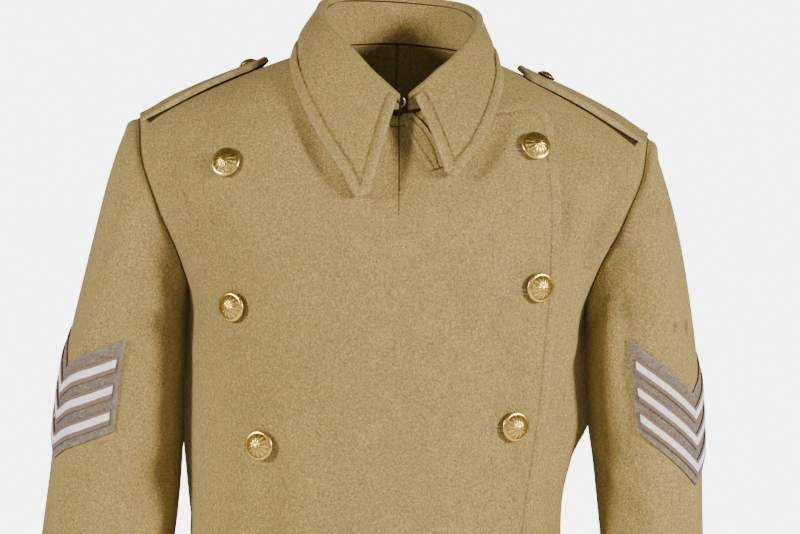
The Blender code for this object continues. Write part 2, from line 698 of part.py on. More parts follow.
def sleeve_patch(side, side_name, across, z, lift):
    """Points on a sleeve for distances round it and heights, moved out by a lift."""
    rows = SLEEVE_ROWS[side_name]
    angle = math.radians(CHEVRON_PLACES[side_name]["middle_deg"]) + across / CHEVRON_RADIUS
    knots = np.linspace(2.5, len(rows) - 1.0, 240)

    def point(turn, height):
        line = sleeve_ring(rows, turn, knots)
        return float(np.interp(-height, -line[:, 2], knots))

    at = np.vectorize(point)(angle, z)
    here = sleeve_ring(rows, angle, at)
    step = 0.02
    round_it = sleeve_ring(rows, angle + step, at) - sleeve_ring(rows, angle - step, at)
    down = sleeve_ring(rows, angle, at + step) - sleeve_ring(rows, angle, at - step)
    normal = unit(np.cross(round_it, down))
    return (here + normal * lift) * np.array([side, 1.0, 1.0])


def make_chevron_strip(name, side, side_name, top_drop, tall, half, lift, thick, material):
    """One V-shaped strip: its top lies below the patch's top edge by a drop."""
    across = np.linspace(-half, half, 13)
    place = CHEVRON_PLACES[side_name]
    rise = CHEVRON_DROP * np.abs(across) / CHEVRON_HALF - place["lean"] * across
    top = place["valley_z"] + rise - top_drop
    rows = 4 if tall > 2 * TAPE_WIDTH else 1
    share = np.linspace(1.0, 0.0, rows + 1)
    z = top[None, :] - tall * share[:, None]
    spread = np.repeat(across[None, :], rows + 1, axis=0)
    outer = sleeve_patch(side, side_name, spread, z, lift + thick)
    inner = sleeve_patch(side, side_name, spread, z, lift)
    return wall(name, outer, inner, material)


def make_chevrons(side, side_name, felt, tape):
    make_chevron_strip(
        f"chevron_felt_{side_name}",
        side,
        side_name,
        0.0,
        CHEVRON_TALL,
        CHEVRON_HALF,
        CHEVRON_LIFT,
        CHEVRON_WALL,
        felt,
    )
    for number in range(TAPE_COUNT):
        make_chevron_strip(
            f"chevron_tape_{side_name}_{number + 1}",
            side,
            side_name,
            TAPE_FIRST + number * TAPE_PITCH,
            TAPE_WIDTH,
            CHEVRON_HALF - 5.0,
            CHEVRON_LIFT + CHEVRON_WALL + 0.5,
            TAPE_WALL,
            tape,
        )


def outside(points, back):
    """Rough distance of points from the coat's outside near the shoulders, and the way out."""

    def height(p):
        x = p[..., 0]
        depth = np.where(back, BODY_ROWS[0]["back"], BODY_ROWS[0]["front"])
        ring = (1.0 - np.clip(np.abs(x) / YOKE_HALF, 0.0, 0.99) ** 2) ** (RING_POWER / 2)
        power = 2.0 / ARCH_POWER
        level = (np.abs(p[..., 1]) / (depth * ring)) ** power
        tall = (np.clip(p[..., 2] - CHEST_Z, 1.0, None) / (shoulder_top(x, back) - CHEST_Z)) ** power
        return level + tall - 1.0

    step = 0.5
    slope = np.stack(
        [(height(points + step * axis) - height(points - step * axis)) / (2 * step) for axis in np.eye(3)],
        axis=-1,
    )
    size = np.maximum(np.linalg.norm(slope, axis=-1), 1e-6)
    return height(points) / size, slope / size[..., None]


def collar_lines(steps):
    """Seam, roll top, free edge and lift of the collar at each station, smoothly filled in."""
    count = len(COLLAR_ROWS)
    seams = []
    edges = []
    for row in COLLAR_ROWS:
        x = row["seam_x"]
        own_side = -1.0 if x < 8.0 else 1.0
        if row["back"]:
            z = NECK_BACK_RISE * max(0.0, 1.0 - (x / NECK_HALF) ** 2)
        else:
            z = float(neck_top(own_side, np.asarray(abs(x) if own_side * x > 0 else -abs(x))))
        theta, level = place_at(x, z, row["back"])
        lift = 0.0 if row["back"] else lap_lift(own_side, theta, level)
        seams.append(body_point(theta, level, lift))
        edge_x, edge_z = row["edge"]
        theta, level = place_at(edge_x, edge_z, row["back"])
        edges.append(body_point(theta, level, row["lift"]))
    knots = np.arange(count, dtype=float)
    at = np.linspace(0.0, count - 1.0, (count - 1) * steps + 1)
    seams = np.array(seams)
    edges = np.array(edges)
    rolls = np.array([row["roll"] for row in COLLAR_ROWS], float)
    lifts = curve(knots, column(COLLAR_ROWS, "lift"), at)

    def fill(points):
        return np.stack([curve(knots, points[:, axis], at) for axis in range(3)], axis=-1)

    return fill(seams), fill(rolls), fill(edges), lifts


def collar_frame(seams, rolls):
    """At each station, the way up the stand and the way out from the neck."""
    along = np.gradient(rolls, axis=0)
    up = unit(rolls - seams)
    out = unit(np.cross(up, along))
    middle = np.array([0.0, -15.0, 0.0])
    turn = np.sign(np.sum(out * (rolls - middle) * np.array([1.0, 1.0, 0.0]), axis=-1, keepdims=True))
    return up, out * turn


def make_collar(material_stand, material_fall):
    seams, rolls, edges, lifts = collar_lines(COLLAR_STEPS)
    up, out = collar_frame(seams, rolls)
    rows = [rolls + out * p["out"] - up * p["down"] for p in ROLL_PROFILE]
    start = rows[-1]
    for number in range(1, FALL_ROWS + 1):
        part = number / FALL_ROWS
        line = start + (edges - start) * part
        rows.append(line + out * FALL_BULGE * math.sin(math.pi * part))
    points = np.array(rows)
    back = points[..., 1] > 0
    first = len(ROLL_PROFILE)
    for _ in range(4):
        distance, way = outside(points[first:], back[first:])
        need = np.clip(lifts[None, :] - distance, 0.0, None)
        points[first:] += way * need[..., None]
    across = np.gradient(points, axis=1)
    down = np.gradient(points, axis=0)
    normals = unit(np.cross(down, across))
    wall("collar_fall", points, points - normals * WALL, material_fall)
    foot = seams + up * STAND_GAP
    top = rolls - up * (ROLL_PROFILE[0]["down"] + STAND_TOP_GAP)
    shift_top = ROLL_PROFILE[0]["out"]
    outer = np.array([foot - out * STAND_INSET, top + out * (shift_top + STAND_WALL)])
    inner = np.array([foot - out * (STAND_INSET + STAND_WALL), top + out * shift_top])
    middle = (outer[:1] + outer[1:]) / 2
    middle_in = (inner[:1] + inner[1:]) / 2
    outer = np.concatenate([outer[:1], middle, outer[1:]])
    inner = np.concatenate([inner[:1], middle_in, inner[1:]])
    wall("collar_stand", outer, inner, material_stand)


def make_tab(material):
    share = np.linspace(0.0, 1.0, 4)
    left = np.array([(row["left_x"], row["left_z"]) for row in TAB_ROWS])
    right = np.array([(row["right_x"], row["right_z"]) for row in TAB_ROWS])
    flat = left[:, None, :] + (right - left)[:, None, :] * share[None, :, None]
    theta, level = place_at(flat[..., 0], flat[..., 1])
    lift = lap_lift(-1, theta, level) + TAB_LIFT
    outer = body_point(theta, level, lift + TAB_WALL)
    inner = body_point(theta, level, lift)
    wall("throat_tab", outer, inner, material)


def strap_point(side, x, across, rise, forward):
    """A point on a shoulder strap's top, across it by a distance."""
    level = np.full(np.shape(x), 89.0)
    theta = np.arcsin(np.clip(x / YOKE_HALF, -1.0, 1.0))
    normal = body_normal(theta, level)
    top = stack(x, 0.0 * x, shoulder_top(x, 0))
    spread = across - forward
    drop = spread * spread / (2 * STRAP_CURVE)
    point = top + normal * (rise - drop)[..., None] + stack(0 * x, spread, 0 * x)
    return point * np.array([side, 1.0, 1.0])


def strap_half(x, tip_x):
    part = (x - tip_x) / (STRAP_SEAM_X - tip_x)
    width = STRAP_HALF_TIP + (STRAP_HALF_SEAM - STRAP_HALF_TIP) * part
    short = np.clip(1.0 - (x - tip_x) / STRAP_TIP_ROUND, 0.0, 0.97)
    return width * np.sqrt(1.0 - short**2)


def strap_rise(x, place):
    """Height of a strap's underside over the shoulder: it arches between its point and its seam."""
    part = (x - place["tip_x"]) / (STRAP_SEAM_X - place["tip_x"])
    low = STRAP_LIFT + (STRAP_SEWN_LIFT - STRAP_LIFT) * part
    return low + place["tip_rise"] * (1.0 - part) ** 2 + STRAP_ARCH * np.sin(math.pi * part) ** 2


def strap_wall(x):
    """Thickness of a strap, which is flattened where it is sewn into the armhole seam."""
    return STRAP_WALL + (STRAP_SEWN_WALL - STRAP_WALL) * smooth(STRAP_SEWN_X, STRAP_SEAM_X, x)


def make_strap(side, side_name, material):
    place = STRAP_PLACES[side_name]
    length = STRAP_SEAM_X - place["tip_x"]
    part = np.array([0.0, 0.022, 0.06, 0.11, 0.2, 0.32, 0.45, 0.58, 0.7, 0.8, 0.9, 1.0])
    x = place["tip_x"] + part * length
    share = np.linspace(-1.0, 1.0, 7)
    spread = strap_half(x, place["tip_x"])[:, None] * share[None, :]
    along = np.repeat(x[:, None], len(share), axis=1)
    rise = strap_rise(along, place)
    outer = strap_point(side, along, spread, rise + strap_wall(along), place["forward"])
    inner = strap_point(side, along, spread, rise, place["forward"])
    wall(f"shoulder_strap_{side_name}", outer, inner, material)


def turned_button(name, foot, axis, radius, material, low=0.0):
    """A domed shank button, turned about the axis that stands on the cloth, with a shank made lower."""
    axis = axis / np.linalg.norm(axis)
    aside = np.array([0.0, 0.0, 1.0]) if abs(axis[2]) < 0.9 else np.array([1.0, 0.0, 0.0])
    flat = unit(np.cross(axis, aside))
    other = np.cross(axis, flat)
    points = []
    faces = []
    rings = []
    for step in BUTTON_PROFILE:
        centre = foot + axis * (max(step["up"] - low, 0.0) * radius + BUTTON_GAP)
        if step["out"] == 0.0:
            rings.append([len(points)])
            points.append(centre)
            continue
        ring = []
        for number in range(BUTTON_SIDES):
            turn = 2 * math.pi * number / BUTTON_SIDES
            ring.append(len(points))
            reach = step["out"] * radius
            points.append(centre + (flat * math.cos(turn) + other * math.sin(turn)) * reach)
        rings.append(ring)
    for first, second in zip(rings, rings[1:]):
        for number in range(BUTTON_SIDES):
            after = (number + 1) % BUTTON_SIDES
            if len(first) == 1:
                faces.append((first[0], second[number], second[after]))
            elif len(second) == 1:
                faces.append((first[number], second[0], first[after]))
            else:
                faces.append((first[number], second[number], second[after], first[after]))
    mesh_object(name, points, faces, material)


def front_place(x, z):
    """Where something sewn to the outside of the right front sits, and the way out there."""
    theta, level = place_at(x, z)
    lift = float(lap_lift(-1, theta, level))
    return body_point(theta, level, lift), body_normal(theta, level)


def make_buttons(material):
    for number, row in enumerate(BUTTON_ROWS, start=1):
        foot, axis = front_place(row["over_x"], row["over_z"])
        turned_button(f"button_edge_{number}", foot, axis, BUTTON_RADIUS, material)
        foot, axis = front_place(row["own_x"], row["own_z"])
        turned_button(f"button_side_{number}", foot, axis, BUTTON_RADIUS, material)
    for side, side_name in ((1, "left"), (-1, "right")):
        place = STRAP_PLACES[side_name]
        x = np.asarray(place["tip_x"] + place["button_back"], float)
        across = np.asarray(place["across"])
        rise = strap_rise(x, place) + strap_wall(x)
        foot = strap_point(side, x, across, rise, place["forward"])
        above = strap_point(side, x, across, rise + 1.0, place["forward"])
        axis = above - foot
        name = f"button_strap_{side_name}"
        turned_button(name, foot, axis, STRAP_BUTTON_RADIUS, material, STRAP_BUTTON_LOW)


def make_hook(material):
    """A bent wire of even thickness, swept along the hook's points."""
    path = np.array([(row["x"], row["y"], row["z"]) for row in HOOK_ROWS])
    along = unit(np.gradient(path, axis=0))
    sideways = unit(np.cross(along, np.array([0.35, 0.25, 1.0])))
    other = np.cross(along, sideways)
    turns = np.linspace(0.0, 2 * math.pi, HOOK_SIDES + 1)[:-1]
    points = []
    for centre, flat, up in zip(path, sideways, other):
        points.extend(centre + HOOK_WIRE * (flat * math.cos(t) + up * math.sin(t)) for t in turns)
    faces = [tuple(range(HOOK_SIDES))]
    for r in range(len(path) - 1):
        for c in range(HOOK_SIDES):
            n = (c + 1) % HOOK_SIDES
            a = r * HOOK_SIDES
            faces.append((a + c, a + n, a + HOOK_SIDES + n, a + HOOK_SIDES + c))
    last = (len(path) - 1) * HOOK_SIDES
    faces.append(tuple(last + c for c in reversed(range(HOOK_SIDES))))
    mesh_object("throat_hook", np.array(points), faces, material)


def clear_scene():
    for thing in list(bpy.data.objects):
        bpy.data.objects.remove(thing, do_unlink=True)


def main():
    clear_scene()
    wool = (0.235, 0.185, 0.082)
    make_front(-1, "front_right", make_material("wool_front_right", wool, 0.95))
    make_front(1, "front_left", make_material("wool_front_left", wool, 0.95))
    make_back(-1, "back_right", make_material("wool_back_right", wool, 0.95))
    make_back(1, "back_left", make_material("wool_back_left", wool, 0.95))
    for side, side_name in ((1, "left"), (-1, "right")):
        make_sleeve(side, side_name, make_material(f"wool_sleeve_{side_name}", wool, 0.95))
        make_strap(side, side_name, make_material(f"wool_strap_{side_name}", wool, 0.95))
        felt = make_material(f"felt_{side_name}", (0.16, 0.12, 0.085), 0.95)
        tape = make_material(f"tape_{side_name}", (0.72, 0.62, 0.53), 0.85)
        make_chevrons(side, side_name, felt, tape)
    stand_wool = make_material("wool_collar_stand", wool, 0.95)
    make_collar(stand_wool, make_material("wool_collar_fall", wool, 0.95))
    make_tab(make_material("wool_tab", wool, 0.95))
    make_buttons(make_material("gilt_brass", (0.78, 0.52, 0.16), 0.28, 1.0))
    make_hook(make_material("steel_wire", (0.42, 0.40, 0.37), 0.4, 1.0))


main()
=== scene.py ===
# %% [markdown]
# # A military greatcoat of khaki wool
# The coat is double-breasted, cut from heavy felted wool, and shown in the shape it has when worn.
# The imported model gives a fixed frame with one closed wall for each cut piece. This script repeats the
# surface that those walls lie on, at a finer step, and gives it creases, seams, stitches and a real finish.
# Lengths are in millimetres, and become metres where a mesh is made.

# %% Load the frame and keep its box
import json
import math

import bmesh
import bpy
import numpy as np
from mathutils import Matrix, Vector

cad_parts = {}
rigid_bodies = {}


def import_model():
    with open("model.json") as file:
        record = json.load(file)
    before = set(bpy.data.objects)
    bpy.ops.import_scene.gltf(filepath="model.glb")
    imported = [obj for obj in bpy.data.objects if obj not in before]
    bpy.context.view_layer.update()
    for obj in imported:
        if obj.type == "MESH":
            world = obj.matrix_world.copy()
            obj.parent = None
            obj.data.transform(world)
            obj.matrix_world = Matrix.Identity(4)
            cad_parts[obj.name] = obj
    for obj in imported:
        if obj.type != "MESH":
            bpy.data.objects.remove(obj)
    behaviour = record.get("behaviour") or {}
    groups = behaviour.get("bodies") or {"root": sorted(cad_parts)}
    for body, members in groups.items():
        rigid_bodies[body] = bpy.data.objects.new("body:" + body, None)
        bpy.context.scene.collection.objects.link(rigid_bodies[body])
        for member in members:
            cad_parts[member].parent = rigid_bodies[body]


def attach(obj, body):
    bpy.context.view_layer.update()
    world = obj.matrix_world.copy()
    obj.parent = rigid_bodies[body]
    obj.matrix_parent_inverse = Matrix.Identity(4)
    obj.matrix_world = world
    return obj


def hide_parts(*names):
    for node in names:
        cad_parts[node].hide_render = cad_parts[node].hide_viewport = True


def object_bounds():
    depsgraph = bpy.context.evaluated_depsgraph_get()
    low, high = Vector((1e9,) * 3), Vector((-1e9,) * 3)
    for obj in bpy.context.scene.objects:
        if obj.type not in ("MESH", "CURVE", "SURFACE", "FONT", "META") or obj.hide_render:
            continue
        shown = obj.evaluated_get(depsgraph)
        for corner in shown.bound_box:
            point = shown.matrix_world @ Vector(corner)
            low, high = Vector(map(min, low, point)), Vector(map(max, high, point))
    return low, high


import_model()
cad_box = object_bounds()
MM = 0.001


def table(names, *rows):
    """Rows of a table, each with its values under the names of the columns."""
    return tuple(dict(zip(names, row)) for row in rows)


# %% [markdown]
# The photograph is taken level, from about two metres, with a lens about 100 mm long for a 36 mm sensor.
# The coat leans a little in it, so the camera is rolled instead: the coat itself stays upright.

# %% Camera
CAMERA_PLACE = (10.5, -1995.0, -194.0)
CAMERA_LENS = 100.0
CAMERA_ROLL_DEG = 2.3

camera = bpy.data.objects.new("camera", bpy.data.cameras.new("camera"))
camera.data.lens = CAMERA_LENS
camera.data.sensor_width = 36.0
camera.data.clip_end = 60.0
camera.location = [v * MM for v in CAMERA_PLACE]
camera.rotation_euler = (math.radians(90.0), math.radians(-CAMERA_ROLL_DEG), 0.0)
bpy.context.collection.objects.link(camera)
bpy.context.scene.camera = camera
print("camera at", tuple(camera.location))

# %% [markdown]
# The light is that of a bright studio: a lamp on each side, well round from the front, so the collar
# throws a shadow both ways, and a faint one in front. A pale world fills the shadows. The camera
# sees a nearly white wall behind the coat, so the world is brighter for the camera than for the cloth.
# The floor lies just under the hem.

# %% Studio
WORLD_COLOUR = (0.84, 0.85, 0.86)
WORLD_STRENGTH = 0.13
WALL_STRENGTH = 6.9
# Places and sizes of the lamps, in metres
LAMPS = (
    {"name": "right key", "place": (2.45, -1.65, 0.4), "size": 0.6, "power": 143.0},
    {"name": "left key", "place": (-2.5, -1.65, 0.35), "size": 0.7, "power": 107.0},
    {"name": "front", "place": (0.0, -2.9, 0.3), "size": 1.6, "power": 10.0},
)
FLOOR_GAP = 12.0


def make_studio():
    world = bpy.data.worlds.new("studio")
    bpy.context.scene.world = world
    world.use_nodes = True
    tree = world.node_tree
    sky = tree.nodes["Background"]
    sky.inputs["Color"].default_value = (*WORLD_COLOUR, 1.0)
    seen = tree.nodes.new("ShaderNodeLightPath").outputs["Is Camera Ray"]
    strength = tree.nodes.new("ShaderNodeMapRange")
    strength.inputs["To Min"].default_value = WORLD_STRENGTH
    strength.inputs["To Max"].default_value = WALL_STRENGTH
    tree.links.new(seen, strength.inputs["Value"])
    tree.links.new(strength.outputs["Result"], sky.inputs["Strength"])
    for lamp in LAMPS:
        data = bpy.data.lights.new(lamp["name"], "AREA")
        data.shape = "DISK"
        data.size = lamp["size"]
        data.energy = lamp["power"]
        light = bpy.data.objects.new(lamp["name"], data)
        light.location = lamp["place"]
        aim = np.array([0.0, 0.0, -0.25]) - np.array(lamp["place"])
        light.rotation_euler = Vector(aim).to_track_quat("-Z", "Y").to_euler()
        bpy.context.collection.objects.link(light)
    floor = bpy.data.meshes.new("floor")
    low = cad_box[0][2] - FLOOR_GAP * MM
    floor.from_pydata([(-4, -4, low), (4, -4, low), (4, 4, low), (-4, 4, low)], [], [(0, 1, 2, 3)])
    floor_piece = bpy.data.objects.new("floor", floor)
    bpy.context.collection.objects.link(floor_piece)
    pale = bpy.data.materials.new("pale_floor")
    pale.use_nodes = True
    pale.node_tree.nodes["Principled BSDF"].inputs["Base Color"].default_value = (0.74, 0.75, 0.77, 1.0)
    pale.node_tree.nodes["Principled BSDF"].inputs["Roughness"].default_value = 0.7
    floor.materials.append(pale)


make_studio()
print("lamps:", [lamp["name"] for lamp in LAMPS])

# %% [markdown]
# The coat's shape is written as short tables. A row is one height of the body, one fold, or one ring of
# a sleeve, and a smooth curve fills in what lies between two rows. This is easier to change than a mesh.

# %% Driving sizes and tables of the body
SEAM_OVER = 0.02
WALL = 3.0
LAP_LIFT = 4.0
# The right front's lift fades out between these distances toward its own side, in millimetres, and
# between these levels up the shoulder, in degrees
LAP_FADE_X = (112.0, 165.0)
LAP_FADE_LEVEL = (52.0, 88.0)
NECK_HALF = 67.0
NECK_FRONT_DROP = 61.0
NECK_BACK_RISE = 12.0
CHEST_Z = -225.0
HEM_Z = -1120.0
YOKE_HALF = 236.0
RING_POWER = 0.75
ARCH_POWER = 0.909
SHOULDER_RIDGE = 41.7
SHOULDER_SLOPE = 0.4637
SHOULDER_ROUND = 60.0
NAPE_RISE = 33.0

# The body under the arms, one row for each height: half width, front depth, back depth
BODY_ROWS = table(
    ("z", "half_width", "front", "back"),
    (-225, 176.0, 125, 118),
    (-240, 172.8, 125, 118),
    (-265, 171.0, 125, 117),
    (-310, 167.5, 123, 113),
    (-360, 164.5, 120, 109),
    (-410, 163.0, 118, 107),
    (-480, 167.0, 122, 114),
    (-570, 180.0, 132, 130),
    (-690, 200.0, 148, 153),
    (-830, 230.0, 170, 180),
    (-975, 260.0, 193, 204),
    (-1120, 288.0, 215, 226),
)
# Extra cloth under the arms, which fills the space beside each sleeve, at heights down the side
SIDE_ROWS = table(
    ("z", "left", "right"),
    (-232, 0.0, 0.0),
    (-260, 3.6, 2.4),
    (-295, 8.0, 4.6),
    (-330, 13.5, 7.2),
    (-352, 8.5, 7.8),
    (-385, 1.5, 6.8),
    (-430, 0.0, 4.6),
    (-490, 0.0, 0.0),
)
SIDE_MIDDLE = 97.0
SIDE_SPREAD = 24.0
# Skirt folds, as the cloth falls below the waist: angle from the front, spread, start and depth at the hem
SKIRT_FOLDS = table(
    ("angle", "spread", "start", "depth"),
    (-158, 13, -470, 15),
    (-122, 12, -540, 11),
    (-88, 10, -600, 9),
    (-57, 9, -560, 8),
    (52, 10, -590, 9),
    (84, 10, -540, 8),
    (118, 12, -500, 12),
    (152, 13, -560, 14),
    (176, 9, -620, -8),
)
# Shoulder arch above the chest, by level in degrees up it: half width, and where the armhole's edge
# lies, as an angle from the front
YOKE_ROWS = table(
    ("level", "half_width", "armhole"),
    (0.0, 176.0, 90.0),
    (1.7, 178.5, 82.9),
    (5.0, 184.5, 77.3),
    (10.0, 195.0, 72.0),
    (16.0, 209.0, 67.6),
    (22.0, 223.0, 64.2),
    (30.0, 234.0, 63.0),
    (43.0, 237.5, 67.4),
    (65.0, 236.5, 72.4),
    (90.0, 236.0, 76.0),
)
# Free edges of the two fronts, by height: the right front laps over, the left front lies under it
EDGE_ROWS = table(
    ("z", "over", "under"),
    (-62, 134.0, 102.0),
    (-68, 135.5, 105.0),
    (-99, 139.5, 108.0),
    (-122, 143.0, 108.0),
    (-192, 144.5, 108.0),
    (-254, 141.5, 108.0),
    (-326, 137.0, 106.0),
    (-386, 131.0, 103.0),
    (-450, 126.0, 100.0),
    (-560, 123.0, 98.0),
    (-800, 127.0, 101.0),
    (-1120, 134.0, 106.0),
)
# Top edge of a front past the middle of the neck, by how far along it is toward the free edge
TOP_ROWS = table(
    ("part", "z"),
    (0.0, -61.0),
    (0.35, -57.5),
    (0.7, -52.5),
    (0.92, -51.0),
    (1.0, -61.0),
)
print("rows of the body:", len(BODY_ROWS), "skirt folds:", len(SKIRT_FOLDS))

# %% Helpers that read a table smoothly


def smooth(low, high, value):
    part = np.clip((np.asarray(value, float) - low) / (high - low), 0.0, 1.0)
    return part * part * (3.0 - 2.0 * part)


def curve(knots, values, at):
    """A smooth curve through the values, read at the places asked for."""
    knots = np.asarray(knots, float)
    values = np.asarray(values, float)
    if knots[0] > knots[-1]:
        knots = knots[::-1]
        values = values[::-1]
    slopes = np.gradient(values, knots)
    at = np.clip(np.asarray(at, float), knots[0], knots[-1])
    index = np.clip(np.searchsorted(knots, at, side="right") - 1, 0, len(knots) - 2)
    gap = knots[index + 1] - knots[index]
    t = (at - knots[index]) / gap
    start = (1 + 2 * t) * (1 - t) ** 2 * values[index] + t * (1 - t) ** 2 * gap * slopes[index]
    end = t * t * (3 - 2 * t) * values[index + 1] + t * t * (t - 1) * gap * slopes[index + 1]
    return start + end


def column(rows, name):
    return [row[name] for row in rows]


def read(rows, knot, name, at):
    return curve(column(rows, knot), column(rows, name), at)


def along_rows(rows, name, at):
    """A column of a table, read between its rows, which count from 0."""
    return curve(np.arange(len(rows), dtype=float), column(rows, name), at)


def unit(vectors):
    return vectors / np.maximum(np.linalg.norm(vectors, axis=-1, keepdims=True), 1e-9)


def stack(x, y, z):
    return np.stack(np.broadcast_arrays(x, y, z), axis=-1).astype(float)


def full_turn(count):
    """Angles of evenly spaced points round a circle."""
    return np.linspace(0.0, 2 * math.pi, count + 1)[:-1]


def ring_faces(first, second, count):
    """Faces that join two rings of points, each given by the number of its first point."""
    pairs = [(k, (k + 1) % count) for k in range(count)]
    return [(first + k, first + m, second + m, second + k) for k, m in pairs]


print("half width at the waist:", float(read(BODY_ROWS, "z", "half_width", -410.0)))

# %% [markdown]
# Below the arms the body is a stack of rounded rings. Above, the same ring arches over to the ridge of
# the shoulders. A place on it is an angle from the front, and a level: millimetres below the chest line,
# or degrees up the arch. Everything on the coat is placed that way and moved out along the normal.

# %% The coat's surface


def shoulder_top(x, back):
    """Height of the shoulder ridge at a distance from the middle."""
    ridge = SHOULDER_RIDGE - SHOULDER_SLOPE * np.sqrt(x * x + SHOULDER_ROUND**2)
    nape = NAPE_RISE * np.clip(1.0 - (x / NECK_HALF) ** 2, 0.0, 1.0) ** 2
    return ridge + np.where(back, nape, 0.0)


def yoke_half(level):
    return read(YOKE_ROWS, "level", "half_width", level)


def half_width(level):
    """Half width of the coat's outside at a level."""
    below = read(BODY_ROWS, "z", "half_width", CHEST_Z + np.minimum(level, 0.0))
    return np.where(level > 0, yoke_half(level), below)


def skirt_fold(theta, z):
    """How far the skirt stands out in its folds."""
    out = np.zeros(np.broadcast(theta, z).shape)
    for fold in SKIRT_FOLDS:
        turn = np.degrees(np.angle(np.exp(1j * (theta - math.radians(fold["angle"])))))
        grow = smooth(fold["start"], HEM_Z, z)
        out = out + fold["depth"] * grow * np.exp(-((turn / fold["spread"]) ** 2))
    return out


def side_fullness(theta, z):
    """How far the extra cloth under the arms stands out."""
    amount = np.where(np.sin(theta) > 0, read(SIDE_ROWS, "z", "left", z), read(SIDE_ROWS, "z", "right", z))
    away = np.degrees(np.abs(theta)) - SIDE_MIDDLE
    return amount * np.exp(-((away / SIDE_SPREAD) ** 2))


def body_base(theta, level):
    """The coat's outside: theta turns from the front, level is mm below the chest or degrees above it."""
    theta, level = np.broadcast_arrays(np.asarray(theta, float), np.asarray(level, float))
    back = np.cos(theta) < 0
    tube_z = CHEST_Z + np.minimum(level, 0.0)
    rise = np.radians(np.clip(level, 0.0, 90.0))
    depth = np.where(back, read(BODY_ROWS, "z", "back", tube_z), read(BODY_ROWS, "z", "front", tube_z))
    fold = skirt_fold(theta, tube_z) + side_fullness(theta, tube_z)
    x = half_width(level) * np.sin(theta)
    side = np.where(back, 1.0, -1.0)
    y = side * depth * np.abs(np.cos(theta)) ** RING_POWER * np.cos(rise) ** ARCH_POWER
    z = tube_z + (shoulder_top(x, back) - CHEST_Z) * np.sin(rise) ** ARCH_POWER
    return stack(x + fold * np.sin(theta), y - fold * np.cos(theta), z)


def body_normal(theta, level):
    theta, level = np.broadcast_arrays(np.asarray(theta, float), np.asarray(level, float))
    turn = 0.004
    step = 0.6
    highest = 89.8
    high = np.minimum(level + step, highest)
    low = np.minimum(level, highest)
    across = body_base(theta + turn, low) - body_base(theta - turn, low)
    up = body_base(theta, high) - body_base(theta, high - 2 * step)
    return unit(np.cross(across, up))


def body_point(theta, level, lift=0.0):
    lift = np.asarray(lift, float)[..., None]
    return body_base(theta, level) + body_normal(theta, level) * lift


def level_at(x, z, back):
    """Level of a place on the shoulder arch that is given by its x and z."""
    part = (z - CHEST_Z) / (shoulder_top(x, back) - CHEST_Z)
    part = np.clip(part, 0.0, 1.0)
    return np.where(z > CHEST_Z, np.degrees(np.arcsin(part ** (1.0 / ARCH_POWER))), z - CHEST_Z)


def place_at(x, z, back=0):
    """Theta and level of a place that is given by its x and z, as seen from the front or back."""
    x = np.asarray(x, float)
    z = np.asarray(z, float)
    level = level_at(x, z, back)
    theta = np.arcsin(np.clip(x / half_width(level), -1.0, 1.0))
    return np.where(back, math.pi - theta, theta), level


def armhole_theta(level):
    return np.radians(read(YOKE_ROWS, "level", "armhole", level))


def lap_lift(side, theta, level):
    """How far the right front stands out over the left front that lies under it."""
    if side > 0:
        return np.zeros(np.broadcast(theta, level).shape)
    x = side * body_base(theta, level)[..., 0]
    inside = 1.0 - smooth(*LAP_FADE_X, x)
    below = 1.0 - smooth(*LAP_FADE_LEVEL, level)
    return LAP_LIFT * inside * below


print("top of the shoulder at x = 150:", float(shoulder_top(150.0, 0)))

# %% [markdown]
# Heavy wool doesn't fold sharply: it bends in long soft rolls, deeper where the cloth is pulled to a
# button, a seam or the bend of an arm. Each crease is one row here, chosen from the photograph:
# where it starts, bends and ends, how wide it is, and how far it stands out (or in, when negative).
# The hidden back and skirt get creases of the same kind, and no two are alike.

# %% Creases of the body, as x and z seen from the front or the back
FRONT_CREASES = table(
    ("from", "via", "to", "wide", "deep"),
    ((5, -40), (3, -84), (6, -168), 23, -15.0),
    ((-76, -60), (-64, -98), (-45, -138), 12, -6.5),
    ((94, -62), (80, -96), (60, -124), 11, -5.0),
    ((196, -118), (176, -160), (158, -236), 11, -4.2),
    ((186, -104), (165, -140), (143, -178), 12, 3.2),
    ((172, -190), (163, -235), (158, -300), 12, 3.4),
    ((170, -262), (158, -322), (149, -410), 11, -8.5),
    ((-196, -112), (-170, -150), (-150, -214), 12, -3.8),
    ((-181, -98), (-158, -132), (-146, -168), 12, 2.8),
    ((-150, -128), (-146, -180), (-152, -246), 10, -2.6),
    ((-136, -140), (-133, -200), (-136, -262), 9, 1.9),
    ((-156, -262), (-148, -330), (-150, -402), 14, -3.4),
    ((-128, -262), (-131, -310), (-124, -372), 11, 2.2),
    ((30, -213), (66, -210), (104, -206), 9, 1.3),
    ((8, -236), (46, -241), (90, -252), 10, -1.3),
    ((-98, -236), (-58, -246), (-14, -250), 12, 1.2),
    ((-92, -350), (-93, -400), (-98, -480), 15, -3.2),
    ((-66, -356), (-70, -420), (-72, -520), 16, 2.4),
    ((14, -356), (17, -410), (12, -500), 15, -2.6),
    ((62, -372), (58, -440), (66, -540), 15, 2.2),
    ((136, -392), (150, -450), (166, -560), 15, 4.0),
    ((-134, -396), (-148, -462), (-170, -590), 16, 3.8),
    ((-30, -560), (-40, -720), (-58, -960), 26, -4.4),
    ((46, -600), (60, -760), (70, -1010), 24, -3.6),
)
